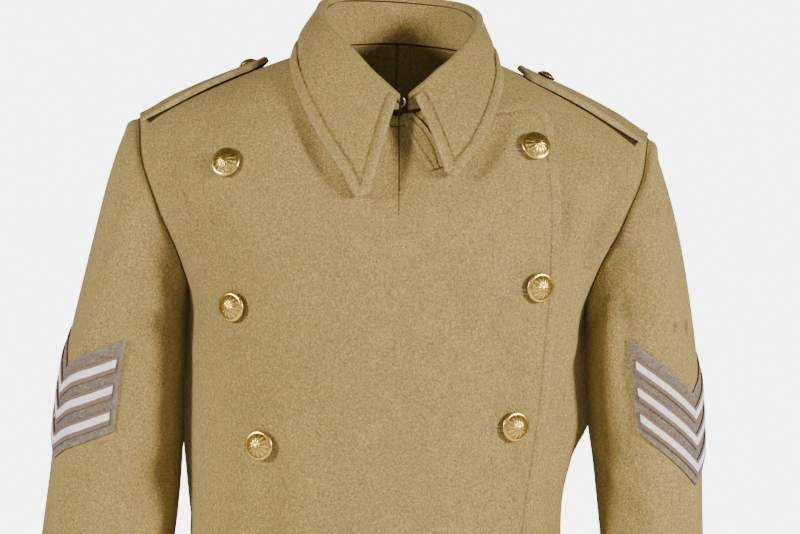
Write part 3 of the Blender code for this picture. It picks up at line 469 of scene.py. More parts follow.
BACK_CREASES = table(
    ("from", "via", "to", "wide", "deep"),
    ((178, -222), (180, -288), (182, -350), 14, 12.0),
    ((-178, -220), (-180, -310), (-183, -420), 14, 11.0),
    ((192, -104), (150, -142), (96, -160), 15, -4.6),
    ((188, -128), (150, -178), (112, -214), 15, 3.6),
    ((-194, -108), (-144, -150), (-88, -172), 14, -4.2),
    ((-186, -134), (-158, -190), (-128, -238), 16, 3.8),
    ((60, -352), (100, -378), (152, -392), 14, -3.8),
    ((-40, -366), (-94, -384), (-150, -380), 13, -3.4),
    ((24, -408), (78, -430), (136, -448), 15, 2.8),
    ((-96, -430), (-110, -560), (-140, -760), 22, 4.6),
    ((88, -450), (108, -600), (124, -820), 22, 4.0),
    ((-34, -500), (-42, -700), (-66, -980), 24, -4.4),
    ((38, -540), (46, -740), (52, -1040), 25, -4.0),
)
# Creases of the sleeves: degrees round it from the outer line toward the front, and row of the table
SLEEVE_CREASES = {
    "right": table(
        ("from", "via", "to", "wide", "deep"),
        ((64, 1.4), (58, 4.4), (44, 9.6), 12, 4.6),
        ((86, 0.8), (100, 3.2), (108, 6.4), 14, -4.8),
        ((124, 2.2), (118, 5.0), (122, 8.0), 12, 3.4),
        ((150, 2.6), (128, 3.8), (112, 4.6), 9, -3.6),
        ((158, 4.0), (138, 5.2), (118, 5.8), 9, 2.8),
        ((164, 6.6), (140, 7.6), (104, 7.9), 10, -4.0),
        ((160, 8.0), (132, 8.6), (92, 9.1), 10, 3.2),
        ((26, 2.0), (20, 4.4), (24, 7.0), 14, -2.6),
        ((205, 2.0), (232, 3.6), (262, 4.6), 12, -4.4),
        ((212, 3.8), (246, 5.2), (276, 5.9), 12, 3.4),
        ((198, 6.8), (226, 7.8), (264, 8.2), 11, -4.2),
        ((286, 1.6), (294, 5.0), (304, 9.4), 14, 3.6),
        ((60, 9.0), (66, 10.6), (54, 12.0), 13, -3.2),
        ((246, 9.0), (254, 10.4), (240, 11.8), 13, -3.0),
    ),
    "left": table(
        ("from", "via", "to", "wide", "deep"),
        ((132, 1.6), (128, 4.6), (132, 8.6), 11, 4.2),
        ((96, 0.9), (98, 2.4), (92, 4.8), 17, -5.4),
        ((116, 1.3), (110, 3.4), (112, 5.4), 8, -3.0),
        ((152, 1.2), (146, 1.9), (142, 2.6), 7, -3.4),
        ((70, 1.0), (66, 3.4), (70, 5.6), 13, 3.4),
        ((160, 5.0), (140, 6.0), (112, 6.6), 10, -3.2),
        ((166, 6.8), (138, 7.7), (98, 8.2), 10, -4.2),
        ((158, 8.2), (130, 8.8), (94, 9.4), 11, 3.4),
        ((24, 1.2), (30, 3.2), (26, 5.0), 14, -2.2),
        ((208, 1.8), (236, 3.2), (268, 4.0), 13, -4.6),
        ((214, 3.4), (240, 4.9), (270, 5.9), 12, 3.2),
        ((200, 6.6), (232, 7.5), (270, 8.1), 11, -4.0),
        ((292, 1.5), (300, 4.6), (296, 9.0), 15, 3.4),
        ((64, 9.2), (58, 10.6), (68, 12.0), 13, -3.4),
        ((250, 9.3), (244, 10.8), (256, 12.0), 14, -2.8),
    ),
}
CREASE_STEPS = 22
print("creases in front and behind:", len(FRONT_CREASES), len(BACK_CREASES))

# %% [markdown]
# A crease is a bell-shaped roll about a bent line. It fades in and out along its length, so that it has
# no hard end. The distance is measured in space, so a crease keeps its width where the surface turns away.

# %% How far a crease moves the cloth


def bend(start, via, end, steps):
    """Points of a smooth line from a start to an end that passes a middle point."""
    t = np.linspace(0.0, 1.0, steps)[:, None]
    start, via, end = (np.array(p, float) for p in (start, via, end))
    handle = 2 * via - (start + end) / 2
    return (1 - t) ** 2 * start + 2 * t * (1 - t) * handle + t * t * end


def crease_height(points, line, wide, deep):
    """Movement out of the surface at points near one crease, whose line is given in space."""
    low = line.min(axis=0) - 3 * wide
    high = line.max(axis=0) + 3 * wide
    near = np.all((points >= low) & (points <= high), axis=-1)
    height = np.zeros(points.shape[:-1])
    if not near.any():
        return height
    picked = points[near]
    start = line[:-1][None]
    run = (line[1:] - line[:-1])[None]
    gap = picked[:, None] - start
    part = np.clip(np.sum(gap * run, axis=-1) / np.sum(run * run, axis=-1), 0.0, 1.0)
    distance = np.linalg.norm(gap - part[..., None] * run, axis=-1)
    nearest = np.argmin(distance, axis=1)
    rows = np.arange(len(picked))
    along = (nearest + part[rows, nearest]) / (len(line) - 1)
    fade = np.sin(math.pi * np.clip(along, 0.0, 1.0)) ** 0.75
    height[near] = deep * fade * np.exp(-((distance[rows, nearest] / wide) ** 2))
    return height


def crease_lines(creases, place):
    """The bent line of each crease in space, with its width and depth."""
    lines = []
    for crease in creases:
        flat = bend(crease["from"], crease["via"], crease["to"], CREASE_STEPS)
        lines.append((place(flat[:, 0], flat[:, 1]), crease["wide"], crease["deep"]))
    return lines


BODY_LINES = crease_lines(FRONT_CREASES, lambda x, z: body_base(*place_at(x, z)))
BODY_LINES += crease_lines(BACK_CREASES, lambda x, z: body_base(*place_at(x, z, 1)))


def body_height(points):
    return sum(crease_height(points, *line) for line in BODY_LINES)


def body_skin(theta, level, lift=0.0):
    """A place on the creased coat, moved out by a lift."""
    base = body_base(theta, level)
    out = body_height(base) + np.asarray(lift, float)
    return base + body_normal(theta, level) * out[..., None]


print("crease lines on the body:", len(BODY_LINES))

# %% [markdown]
# Each body piece is a grid. Its columns run from the free edge or the middle seam out to the side seam
# and the armhole, and its rows from the hem up to the neckline and the shoulder seam.

# %% Step of the grids
BODY_ROWS_BELOW = 84
BODY_EASE = 1.3
COMMON_ROWS = 32
YOKE_COMMON_DEG = 34.0
TOP_ROWS_ABOVE = 30
YOKE_EASE = 1.4
LAP_COLUMNS = 26
LAP_EASE = 1.3
NECK_COLUMNS = 22
SHOULDER_COLUMNS = 32
BACK_NECK_COLUMNS = 14

# %% Grids of the fronts and backs


def edge_name(side):
    """The left front lies under the right one."""
    return "under" if side > 0 else "over"


def edge_theta(side, level):
    """Angle of a front's free edge, past the middle, in that front's own sense."""
    name = edge_name(side)
    level = np.minimum(level, level_at(EDGE_ROWS[0][name], EDGE_ROWS[0]["z"], 0))
    z = body_base(np.full(np.shape(level), 0.5), level)[..., 2]
    for _ in range(3):
        reach = read(EDGE_ROWS, "z", name, z)
        theta = place_at(reach, z)[0]
        z = body_base(theta, level)[..., 2]
    return -np.arcsin(np.clip(reach / half_width(level), -1.0, 1.0))


def neck_top(side, x):
    """Height of a front's top edge: the neckline, then the edge that runs on to the free corner."""
    far = EDGE_ROWS[0][edge_name(side)]
    round_neck = -NECK_FRONT_DROP * np.sqrt(np.clip(1.0 - (x / NECK_HALF) ** 2, 0.0, 1.0))
    along = read(TOP_ROWS, "part", "z", np.clip(-x / far, 0.0, 1.0))
    return np.where(x > 0, round_neck, along)


def yoke_levels(top):
    """Levels of the rows above the chest: common to all columns at first, then shared out up to the top."""
    common = YOKE_COMMON_DEG * (np.arange(1, COMMON_ROWS + 1) / COMMON_ROWS) ** YOKE_EASE
    rest = np.arange(1, TOP_ROWS_ABOVE + 1) / TOP_ROWS_ABOVE
    top = np.asarray(top, float)
    low = np.repeat(common[:, None], top.size, axis=1)
    high = YOKE_COMMON_DEG + (top.reshape(1, -1) - YOKE_COMMON_DEG) * rest[:, None]
    return np.vstack([np.zeros((1, top.size)), low, high])


def neck_columns(count, back):
    """Theta and level of points along half the neckline, from its middle to the shoulder seam."""
    turn = np.linspace(0.0, math.pi / 2, count + 1)
    x = NECK_HALF * np.sin(turn)
    z = NECK_BACK_RISE * np.cos(turn) ** 2 if back else -NECK_FRONT_DROP * np.cos(turn)
    level = level_at(x, z, back)
    return np.arcsin(x / yoke_half(level)), level


def shoulder_columns(count):
    start = math.asin(NECK_HALF / YOKE_HALF)
    end = float(armhole_theta(90.0))
    theta = start + (end - start) * np.linspace(0.0, 1.0, count + 1)[1:]
    return theta, np.full(count, 90.0)


def lapped_columns(side, count):
    """Theta and level along the top edge from the free corner to the middle of the neck."""
    far = EDGE_ROWS[0][edge_name(side)]
    x = -far * np.linspace(1.0, 0.0, count + 1)[:-1] ** LAP_EASE
    z = read(TOP_ROWS, "part", "z", -x / far)
    level = level_at(x, z, 0)
    return np.arcsin(x / yoke_half(level)), level


def front_grid(side):
    """Theta and level of a front's points, rows from the hem up and columns from the free edge out."""
    neck = neck_columns(NECK_COLUMNS, 0)
    parts = (lapped_columns(side, LAP_COLUMNS), neck, shoulder_columns(SHOULDER_COLUMNS))
    return grid_from(parts, lambda at: edge_theta(side, at))


def back_grid():
    """Theta and level of a back's points, columns from the middle seam out."""
    parts = (neck_columns(BACK_NECK_COLUMNS, 1), shoulder_columns(SHOULDER_COLUMNS))
    theta, level = grid_from(parts, lambda at: np.zeros(np.shape(at)))
    return math.pi - theta, level


def grid_from(parts, inner_edge):
    """Rows from the hem to the top edge, spread between an inner edge and the side seam or armhole."""
    top_theta, top_level = (np.concatenate(values) for values in zip(*parts))
    count = len(top_theta)
    fall = np.linspace(1.0, 0.0, BODY_ROWS_BELOW + 1)[:-1] ** BODY_EASE
    below = np.repeat(((HEM_Z - CHEST_Z) * fall)[:, None], count, axis=1)
    level = np.vstack([below, yoke_levels(top_level)])
    low = inner_edge(top_level)
    top_share = (top_theta - low) / (armhole_theta(top_level) - low)
    even = np.linspace(0.0, 1.0, count)
    blend = np.zeros(len(level))
    above = COMMON_ROWS + TOP_ROWS_ABOVE
    blend[BODY_ROWS_BELOW:] = smooth(0.0, 1.0, np.arange(above + 1) / above)
    share = even[None, :] + (top_share - even)[None, :] * blend[:, None]
    low = inner_edge(level)
    theta = low + share * (armhole_theta(level) - low)
    return theta, level


def push_out(points):
    """Moves the border of a grid out by a hair, so that no light shows between sewn pieces."""
    points = points.copy()
    points[0] -= unit(points[1] - points[0]) * SEAM_OVER
    points[-1] -= unit(points[-2] - points[-1]) * SEAM_OVER
    points[:, 0] -= unit(points[:, 1] - points[:, 0]) * SEAM_OVER
    points[:, -1] -= unit(points[:, -2] - points[:, -1]) * SEAM_OVER
    return points


print("points of the right front:", front_grid(-1)[0].shape, "of a back:", back_grid()[0].shape)

# %% [markdown]
# A finish is a tree of small shader nodes. Adding one by hand takes a few lines each time, so these helpers
# make a node, give its sockets their numbers, colours or links, and hand back the output that comes next.
# A look that several materials share becomes a node group, with named inputs that each material sets.

# %% Helpers for shader nodes


def plug(tree, node, values):
    """Gives sockets a link from another node, a colour or a number, each by its label or its place."""
    for label, value in values.items():
        socket = node.inputs[label]
        if isinstance(value, bpy.types.NodeSocket):
            tree.links.new(value, socket)
        elif socket.type == "RGBA":
            socket.default_value = (*value, 1.0)
        else:
            socket.default_value = value


def add_node(tree, kind, values, output=0, **settings):
    """A node with its settings and its sockets' values. Gives one of its outputs."""
    node = tree.nodes.new(kind)
    for name, setting in settings.items():
        setattr(node, name, setting)
    plug(tree, node, values)
    return node.outputs[output]


def add_noise(tree, vector, scale, detail=2.0, roughness=0.55):
    values = {"Vector": vector, "Scale": scale, "Detail": detail, "Roughness": roughness}
    return add_node(tree, "ShaderNodeTexNoise", values, "Fac")


def add_math(tree, operation, first, second=0.0, clamp=False):
    return add_node(tree, "ShaderNodeMath", {0: first, 1: second}, operation=operation, use_clamp=clamp)


def times(tree, first, second, clamp=False):
    return add_math(tree, "MULTIPLY", first, second, clamp)


def plus(tree, first, second):
    return add_math(tree, "ADD", first, second)


def minus(tree, first, second):
    return add_math(tree, "SUBTRACT", first, second)


def add_range(tree, value, low, high, to_low=0.0, to_high=1.0):
    values = {"Value": value, "From Min": low, "From Max": high, "To Min": to_low, "To Max": to_high}
    return add_node(tree, "ShaderNodeMapRange", values, "Result")


def add_mix(tree, factor, first, second, blend="MIX"):
    values = {0: factor, 6: first, 7: second}
    return add_node(tree, "ShaderNodeMix", values, 2, data_type="RGBA", blend_type=blend)


def add_bell(tree, value, place, wide):
    """1 where a value is at a place, and next to 0 two widths away."""
    off = add_math(tree, "DIVIDE", minus(tree, value, place), wide)
    return add_math(tree, "EXPONENT", times(tree, times(tree, off, off), -1.0))


def new_group(name, inputs, outputs):
    """A node group with named inputs and outputs: its tree, its inputs to read, and its end node."""
    group = bpy.data.node_groups.new(name, "ShaderNodeTree")
    for label, kind, value in inputs:
        socket = group.interface.new_socket(name=label, in_out="INPUT", socket_type=f"NodeSocket{kind}")
        socket.default_value = value
    for label, kind in outputs:
        group.interface.new_socket(name=label, in_out="OUTPUT", socket_type=f"NodeSocket{kind}")
    return group, group.nodes.new("NodeGroupInput").outputs, group.nodes.new("NodeGroupOutput")


print("node helpers ready")

# %% [markdown]
# Wool melton is woven from yarn spun of mixed fibres, then felted and raised, so the weave hardly shows.
# What shows is a fine mixture of light, dark and dull tufts, a soft nap, and slow changes of tone where
# the coat has faded, been handled or been brushed. The tufts come from noise at a few sizes, from about
# one to three millimetres. It is read in the coat's own space, so it stays on the cloth.

# %% The group of mixed fibres
FIBRE_INPUTS = (
    ("Vector", "Vector", (0.0, 0.0, 0.0)),
    ("Ground", "Color", (0.3, 0.24, 0.1, 1.0)),
    ("Light Fibre", "Color", (0.5, 0.42, 0.24, 1.0)),
    ("Dark Fibre", "Color", (0.12, 0.1, 0.05, 1.0)),
    ("Other Fibre", "Color", (0.2, 0.24, 0.16, 1.0)),
    ("Fibre Scale", "Float", 900.0),
    ("Tone Change", "Float", 0.2),
)
# Tufts over the ground: shift and size of their noise, where it starts and ends, and how full they are
TUFT_ROWS = (
    {"fibre": "Light Fibre", "shift": 3.1, "size": 0.74, "low": 0.46, "high": 0.64, "full": 0.85},
    {"fibre": "Dark Fibre", "shift": 7.7, "size": 0.58, "low": 0.48, "high": 0.68, "full": 0.8},
    {"fibre": "Other Fibre", "shift": 12.9, "size": 0.46, "low": 0.47, "high": 0.62, "full": 0.7},
)


def build_fibre_group():
    """Mixed fibres: a colour that varies from tuft to tuft and over the whole cloth, and a nap height."""
    group, given, out = new_group("mixed_fibres", FIBRE_INPUTS, (("Color", "Color"), ("Height", "Float")))
    vector = given["Vector"]
    scale = given["Fibre Scale"]
    fine = add_noise(group, vector, scale, 2.0, 0.6)
    mid = add_noise(group, vector, times(group, scale, 0.42), 2.0, 0.6)
    colour = given["Ground"]
    for row in TUFT_ROWS:
        shift = (row["shift"], -row["shift"], 0.5 * row["shift"])
        moved = add_node(group, "ShaderNodeVectorMath", {0: vector, 1: shift}, operation="ADD")
        noise = add_noise(group, moved, times(group, scale, row["size"]), 3.0, 0.62)
        amount = times(group, add_range(group, noise, row["low"], row["high"]), row["full"])
        colour = add_mix(group, amount, colour, given[row["fibre"]])
    broad = times(group, add_noise(group, vector, 9.0, 3.0, 0.5), 0.6)
    patch = times(group, add_noise(group, vector, 46.0, 3.0, 0.6), 0.4)
    low = minus(group, 1.0, given["Tone Change"])
    high = plus(group, 1.0, given["Tone Change"])
    tone = add_range(group, plus(group, broad, patch), 0.3, 0.7, low, high)
    tone = times(group, tone, add_range(group, fine, 0.25, 0.75, 0.78, 1.22))
    grey = add_node(group, "ShaderNodeCombineColor", {0: tone, 1: tone, 2: tone})
    colour = add_mix(group, 1.0, colour, grey, "MULTIPLY")
    height = plus(group, times(group, fine, 0.5), times(group, mid, 0.9))
    plug(group, out, {"Color": colour, "Height": height})
    return group


FIBRES = build_fibre_group()
print("group:", FIBRES.name)

# %% [markdown]
# A second group gives the worn tone along edges, and the thin lines where stitching draws the cloth in:
# a bump, and painted shade that darkens the line. A line is worked out from a distance that the mesh
# stores, so it stays sharp on a coarse mesh.

# %% The group of worn edges, and stitched lines darkened with painted shade
WEAR_INPUTS = (
    ("Vector", "Vector", (0.0, 0.0, 0.0)),
    ("Color", "Color", (0.3, 0.24, 0.1, 1.0)),
    ("Border", "Float", 99.0),
    ("Seam", "Float", 99.0),
    ("Dart", "Float", 99.0),
    ("Stitch", "Float", 8.5),
    ("Line", "Float", 0.8),
    ("Amount", "Float", 0.35),
)
# What the worn tone adds to the cloth's colour, and the painted shade that is left of it in a drawn-in line
WORN_ADDS = (0.28, 0.25, 0.17)
LINE_PAINTED_SHADE = (0.36, 0.32, 0.27)


def build_edge_group():
    """Wear, and stitched lines darkened with painted shade, from distances in millimetres to the piece's
    edge, seam and dart.
    """
    group, given, out = new_group("edge_wear_and_groove_shade", WEAR_INPUTS, (("Color", "Color"), ("Height", "Float")))
    vector = given["Vector"]
    cloth = given["Color"]
    patchy = add_range(group, add_noise(group, vector, 120.0, 3.0, 0.6), 0.35, 0.7)
    edge = add_math(group, "EXPONENT", times(group, given["Border"], -0.6))
    worn = times(group, times(group, edge, patchy), given["Amount"], True)
    pale = add_mix(group, 1.0, cloth, WORN_ADDS, "ADD")
    wander = times(group, minus(group, add_noise(group, vector, 90.0), 0.5), 1.2)
    stitch = add_bell(group, plus(group, given["Border"], wander), given["Stitch"], 1.0)
    pull = add_range(group, add_noise(group, vector, 240.0, 2.0), 0.3, 0.65, 0.5, 1.0)
    line = times(group, times(group, stitch, pull), given["Line"])
    line = add_math(group, "MAXIMUM", line, times(group, add_bell(group, given["Seam"], 0.0, 1.2), 0.8))
    line = add_math(group, "MAXIMUM", line, add_bell(group, given["Dart"], 0.0, 0.55))
    # painted shade: the cloth is darkened along stitched lines, seams and the dart, where it is drawn in
    shade = add_mix(group, 1.0, cloth, LINE_PAINTED_SHADE, "MULTIPLY")
    colour = add_mix(group, worn, cloth, pale)
    colour = add_mix(group, times(group, line, 0.6, True), colour, shade)
    plug(group, out, {"Color": colour, "Height": minus(group, 1.0, line)})
    return group


WEAR_AND_GROOVE_SHADE = build_edge_group()
print("group:", WEAR_AND_GROOVE_SHADE.name)

# %% [markdown]
# The wool material places both groups. The distances come from the mesh, where each piece stores how far
# a point is from its edge, its seams and its dart. Sheen stands for the fuzz that catches light at the rim.
# The left sleeve has two old dark marks above the chevrons, so it has a wool of its own with two ovals.

# %% Wool
WOOL = {
    "Ground": (0.275, 0.192, 0.05),
    "Light Fibre": (0.47, 0.33, 0.095),
    "Dark Fibre": (0.125, 0.086, 0.024),
    "Other Fibre": (0.2, 0.168, 0.072),
}
FELT = {
    "Ground": (0.165, 0.12, 0.085),
    "Light Fibre": (0.27, 0.21, 0.155),
    "Dark Fibre": (0.09, 0.064, 0.045),
    "Other Fibre": (0.14, 0.125, 0.1),
}
# Middle and half sizes of the two marks, in millimetres
STAINS = (
    {"middle": (252.0, -45.0, -236.5), "half": (2.3, 40.0, 5.6), "dark": 0.62},
    {"middle": (264.5, -45.0, -236.0), "half": (2.6, 40.0, 6.4), "dark": 0.7},
)


def place_group(tree, group, values):
    node = tree.nodes.new("ShaderNodeGroup")
    node.node_tree = group
    plug(tree, node, values)
    return node.outputs


def new_material(name):
    """A material, its tree, and the place of each point in it."""
    material = bpy.data.materials.new(name)
    material.use_nodes = True
    tree = material.node_tree
    return material, tree, add_node(tree, "ShaderNodeTexCoord", {}, "Object")


def set_shader(tree, values):
    plug(tree, tree.nodes["Principled BSDF"], values)


def add_bump(tree, height, distance, strength, **under):
    values = {"Height": height, "Distance": distance, "Strength": strength, **under}
    return add_node(tree, "ShaderNodeBump", values, "Normal")


def stored(tree, name):
    """A number that the mesh stores at each point."""
    return add_node(tree, "ShaderNodeAttribute", {}, "Fac", attribute_name=name)


def add_stain(tree, where, colour, stain):
    """Darkens the colour inside one soft oval."""
    middle = [v * MM for v in stain["middle"]]
    scale = [1.0 / (v * MM) for v in stain["half"]]
    off = add_node(tree, "ShaderNodeVectorMath", {0: where, 1: middle}, operation="SUBTRACT")
    scaled = add_node(tree, "ShaderNodeMapping", {"Vector": off, "Scale": scale})
    size = add_node(tree, "ShaderNodeVectorMath", {0: scaled}, "Value", operation="LENGTH")
    inside = add_range(tree, size, 1.25, 0.6, 0.0, stain["dark"])
    shade = add_mix(tree, 1.0, colour, (0.42, 0.44, 0.46), "MULTIPLY")
    return add_mix(tree, inside, colour, shade)


def make_cloth(name, colours, stitch=8.5, line=0.5, fibres=900.0, tone=0.1, worn=0.3, bump=0.3, stains=()):
    """Wool or felt: where it is stitched, how deep the line draws in and how dark its painted shade is, its
    fibres, and how worn it is.
    """
    material, tree, where = new_material(name)
    values = {"Vector": where, **colours, "Fibre Scale": fibres, "Tone Change": tone}
    mixed = place_group(tree, FIBRES, values)
    distances = {label: stored(tree, label.lower()) for label in ("Border", "Seam", "Dart")}
    values = {"Vector": where, "Color": mixed["Color"], "Stitch": stitch, "Line": line, "Amount": worn}
    wear_and_shade = place_group(tree, WEAR_AND_GROOVE_SHADE, {**values, **distances})
    # this colour holds the worn edges and the painted shade along stitched lines, seams and the dart
    colour = wear_and_shade["Color"]
    for stain in stains:
        colour = add_stain(tree, where, colour, stain)
    drawn_in = add_bump(tree, wear_and_shade["Height"], 0.0016, 1.0)
    nap = add_bump(tree, mixed["Height"], 0.0012, bump, Normal=drawn_in)
    set_shader(tree, {"Base Color": colour, "Normal": nap, "Roughness": 0.93, "Specular IOR Level": 0.2})
    set_shader(tree, {"Sheen Weight": 0.12, "Sheen Roughness": 0.4, "Sheen Tint": (0.86, 0.76, 0.5)})
    return material


# The line value sets how far a stitched line draws in and how dark its painted shade is.
wool = make_cloth("khaki_wool", WOOL)
collar_wool = make_cloth("khaki_wool_of_the_collar", WOOL, 9.6, 1.0)
strap_wool = make_cloth("khaki_wool_of_the_straps", WOOL, 5.5, 0.6)
strip_wool = make_cloth("khaki_wool_of_the_strip", WOOL, 4.0, 0.6)
marked_wool = make_cloth("khaki_wool_with_marks", WOOL, stains=STAINS)
felt = make_cloth("brown_felt", FELT, -9.0, 0.0, 700.0, 0.08, 0.5, 0.45)
print("cloths:", [cloth.name for cloth in (wool, collar_wool, strap_wool, strip_wool, marked_wool, felt)])

# %% [markdown]
# A cut piece of cloth is a wall. Its outer points are the grid, its inner points are the same points
# moved in by the cloth's thickness, and a bevel along the rim gives the soft turned edge of thick wool.

# %% Making a mesh, and a wall of cloth


def make_piece(name, points, faces, material, replaced=(), smooth_deg=50.0):
    """A mesh that rides on the coat's one body and the nodes that it stands for."""
    mesh = bpy.data.meshes.new(name)
    mesh.from_pydata([tuple(p) for p in np.asarray(points) * MM], [], faces)
    shape = bmesh.new()
    shape.from_mesh(mesh)
    bmesh.ops.recalc_face_normals(shape, faces=shape.faces)
    if shape.calc_volume(signed=True) < 0:
        bmesh.ops.reverse_faces(shape, faces=shape.faces)
    shape.to_mesh(mesh)
    shape.free()
    mesh.validate()
    mesh.materials.append(material)
    mesh.shade_smooth()
    mesh.set_sharp_from_angle(angle=math.radians(smooth_deg))
    piece = bpy.data.objects.new(name, mesh)
    bpy.context.collection.objects.link(piece)
    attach(piece, "root")
    if replaced:
        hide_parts(*replaced)
    return piece


def wall_faces(rows, columns, closed):
    """Faces of the outer and the inner grid, and of the rim that joins them."""
    shift = rows * columns
    last = columns if closed else columns - 1
    row, c = np.meshgrid(np.arange(rows - 1) * columns, np.arange(last), indexing="ij")
    n = (c + 1) % columns
    quads = np.stack([row + c, row + n, row + columns + n, row + columns + c], axis=-1).reshape(-1, 4)
    faces = [tuple(q) for q in quads.tolist()]
    faces += [tuple(q) for q in (quads[:, ::-1] + shift).tolist()]
    top = (rows - 1) * columns
    rims = []
    for k in range(last):
        m = (k + 1) % columns
        rims += [(m, k), (top + k, top + m)]
    if not closed:
        for a in range(0, top, columns):
            b = a + columns
            rims += [(a, b), (b + last, a + last)]
    return faces + [(a, b, shift + b, shift + a) for a, b in rims]


def arc(line):
    return float(np.linalg.norm(np.diff(line, axis=0), axis=1).sum())


def cut_of(points, closed):
    """Width, length and area of the cloth that a grid was cut from."""
    loop = np.concatenate([points, points[:, :1]], axis=1) if closed else points
    width = max(arc(row) for row in loop)
    length = max(arc(loop[:, c]) for c in range(loop.shape[1]))
    side = loop[:-1, 1:] - loop[:-1, :-1]
    down = loop[1:, :-1] - loop[:-1, :-1]
    area = float(np.linalg.norm(np.cross(side, down), axis=-1).sum())
    return width * MM, length * MM, min(area * MM * MM, 0.999 * width * length * MM * MM)


CUTS = {}
FAR = 99.0
RIM_SOFT = 0.8
RIM_ANGLE_DEG = 55.0


def store(piece, name, values):
    layer = piece.data.attributes.new(name, "FLOAT", "POINT")
    layer.data.foreach_set("value", np.asarray(values, np.float32))


def cloth_wall(
    name, node, outer, inner, material, marks,
    closed=False,
):
    """A wall of cloth between two grids, whose cut's width, length and area are kept. Marks are distances
    for the material.
    """
    rows, columns = outer.shape[:2]
    points = np.vstack([outer.reshape(-1, 3), inner.reshape(-1, 3)])
    piece = make_piece(name, points, wall_faces(rows, columns, closed), material, (node,))
    for label in ("border", "seam", "dart"):
        values = marks.get(label, np.full((rows, columns), FAR))
        store(piece, label, np.tile(values.reshape(-1), 2))
    soften = piece.modifiers.new("soft_rim", "BEVEL")
    soften.width = RIM_SOFT * MM
    soften.segments = 2
    soften.limit_method = "ANGLE"
    soften.angle_limit = math.radians(RIM_ANGLE_DEG)
    width, length, area = cut_of(outer, closed)
    CUTS[name] = (round(width, 3), round(length, 3), round(area, 4))
    return piece


print("wall helpers ready")

# %% [markdown]
# Seams and edges show because the cloth is drawn in along the stitching. A point's distance to a line
# of stitching decides how far it is drawn in, and the same distance drives the worn tone and a painted
# shade along the line.

# %% Distances to seams and edges


def distance_to(points, line):
    """Distance of each point to the nearest piece of a line."""
    start = line[:-1]
    run = line[1:] - line[:-1]
    size = np.maximum(np.sum(run * run, axis=-1), 1e-9)
    best = np.full(points.shape[:-1], 1e9)
    for a, r, s in zip(start, run, size):
        gap = points - a
        part = np.clip(gap @ r / s, 0.0, 1.0)
        best = np.minimum(best, np.linalg.norm(gap - part[..., None] * r, axis=-1))
    return best


def groove_at(distance, place, wide):
    """1 on a line of stitching that runs at a distance from an edge, and 0 away from it."""
    return np.exp(-(((distance - place) / wide) ** 2))


def relief_at(distance, rows):
    """How far cloth stands out at a distance from its edge, from a table of rolls and drawn-in lines."""
    return sum(row["out"] * groove_at(distance, row["place"], row["wide"]) for row in rows)


print("a groove 9 mm in, read at 9 and 12 mm:", groove_at(np.array([9.0, 12.0]), 9.0, 1.6).round(3))

# %% [markdown]
# The right front laps over the left. Its free edge is turned and stitched 8.5 mm in, which makes the
# flat welt beside the buttons. The seams at side, shoulder and armhole are drawn in a little.

# %% Fronts and backs
EDGE_STITCH = 8.5
EDGE_GROOVE = 1.0
SEAM_GROOVE = 1.3
SEAM_WIDE = 2.6
FRONT_EDGE = (
    {"place": EDGE_STITCH, "wide": 1.9, "out": -EDGE_GROOVE},
    {"place": 4.2, "wide": 3.0, "out": 0.5},
)
# A short dart shapes the front below the collar, between two places given as x and z
DART = {"top": (4.5, -60.0), "end": (7.5, -150.0), "deep": 1.1, "wide": 3.0, "fade": 6.0}


def dart_distance(points):
    """Distance to the line of the dart, on its left or right, which grows fast past its ends."""
    top_x, top_z = DART["top"]
    end_x, end_z = DART["end"]
    part = np.clip((top_z - points[..., 2]) / (top_z - end_z), 0.0, 1.0)
    off = points[..., 0] - (top_x + (end_x - top_x) * part)
    past = np.maximum(points[..., 2] - top_z, end_z - points[..., 2])
    return np.copysign(np.hypot(off, DART["fade"] * np.clip(past, 0.0, None)), off)


def panel(side, back):
    """Outer and inner points of a body piece, and what is stored for the material."""
    theta, level = back_grid() if back else front_grid(side)
    theta = side * theta
    base = body_base(theta, level)
    normals = body_normal(theta, level)
    height = body_height(base) + (0.0 if back else lap_lift(side, theta, level))
    seams = [base[:, -1], base[-1, -SHOULDER_COLUMNS - 1 :]]
    if back:
        seams.append(base[:, 0])
    seam = np.min([distance_to(base, line) for line in seams], axis=0)
    height = height - SEAM_GROOVE * groove_at(seam, 0.0, SEAM_WIDE)
    border = distance_to(base, base[0])
    marks = {"seam": seam}
    if not back:
        free = distance_to(base, base[:, 0])
        top = distance_to(base, base[-1, : LAP_COLUMNS + 1])
        turned = np.minimum(free, top) if side < 0 else free
        height = height + relief_at(turned, FRONT_EDGE)
        border = np.minimum(border, turned)
        if side < 0:
            # the dart's stored distance also gives it a thin line of painted shade in the material
            marks["dart"] = dart_distance(base)
            height = height - DART["deep"] * groove_at(marks["dart"], 0.0, DART["wide"])
    marks["border"] = border
    return base, normals, height, marks


def make_panel(name, node, side, back):
    base, normals, height, marks = panel(side, back)
    points = push_out(base + normals * height[..., None])
    side_name = "left" if side > 0 else "right"
    normals[BODY_ROWS_BELOW:, -1] = armhole_faces(side, side_name, normals[BODY_ROWS_BELOW:, -1], back)
    return cloth_wall(name, node, points, points - normals * WALL, wool, marks)


# %% [markdown]
# A sleeve is a tube of rings. Its first ring is the armhole itself, so the sleeve head meets the body all
# round, and the rings then turn into slanted ovals that hang beside the body and swing a little forward.

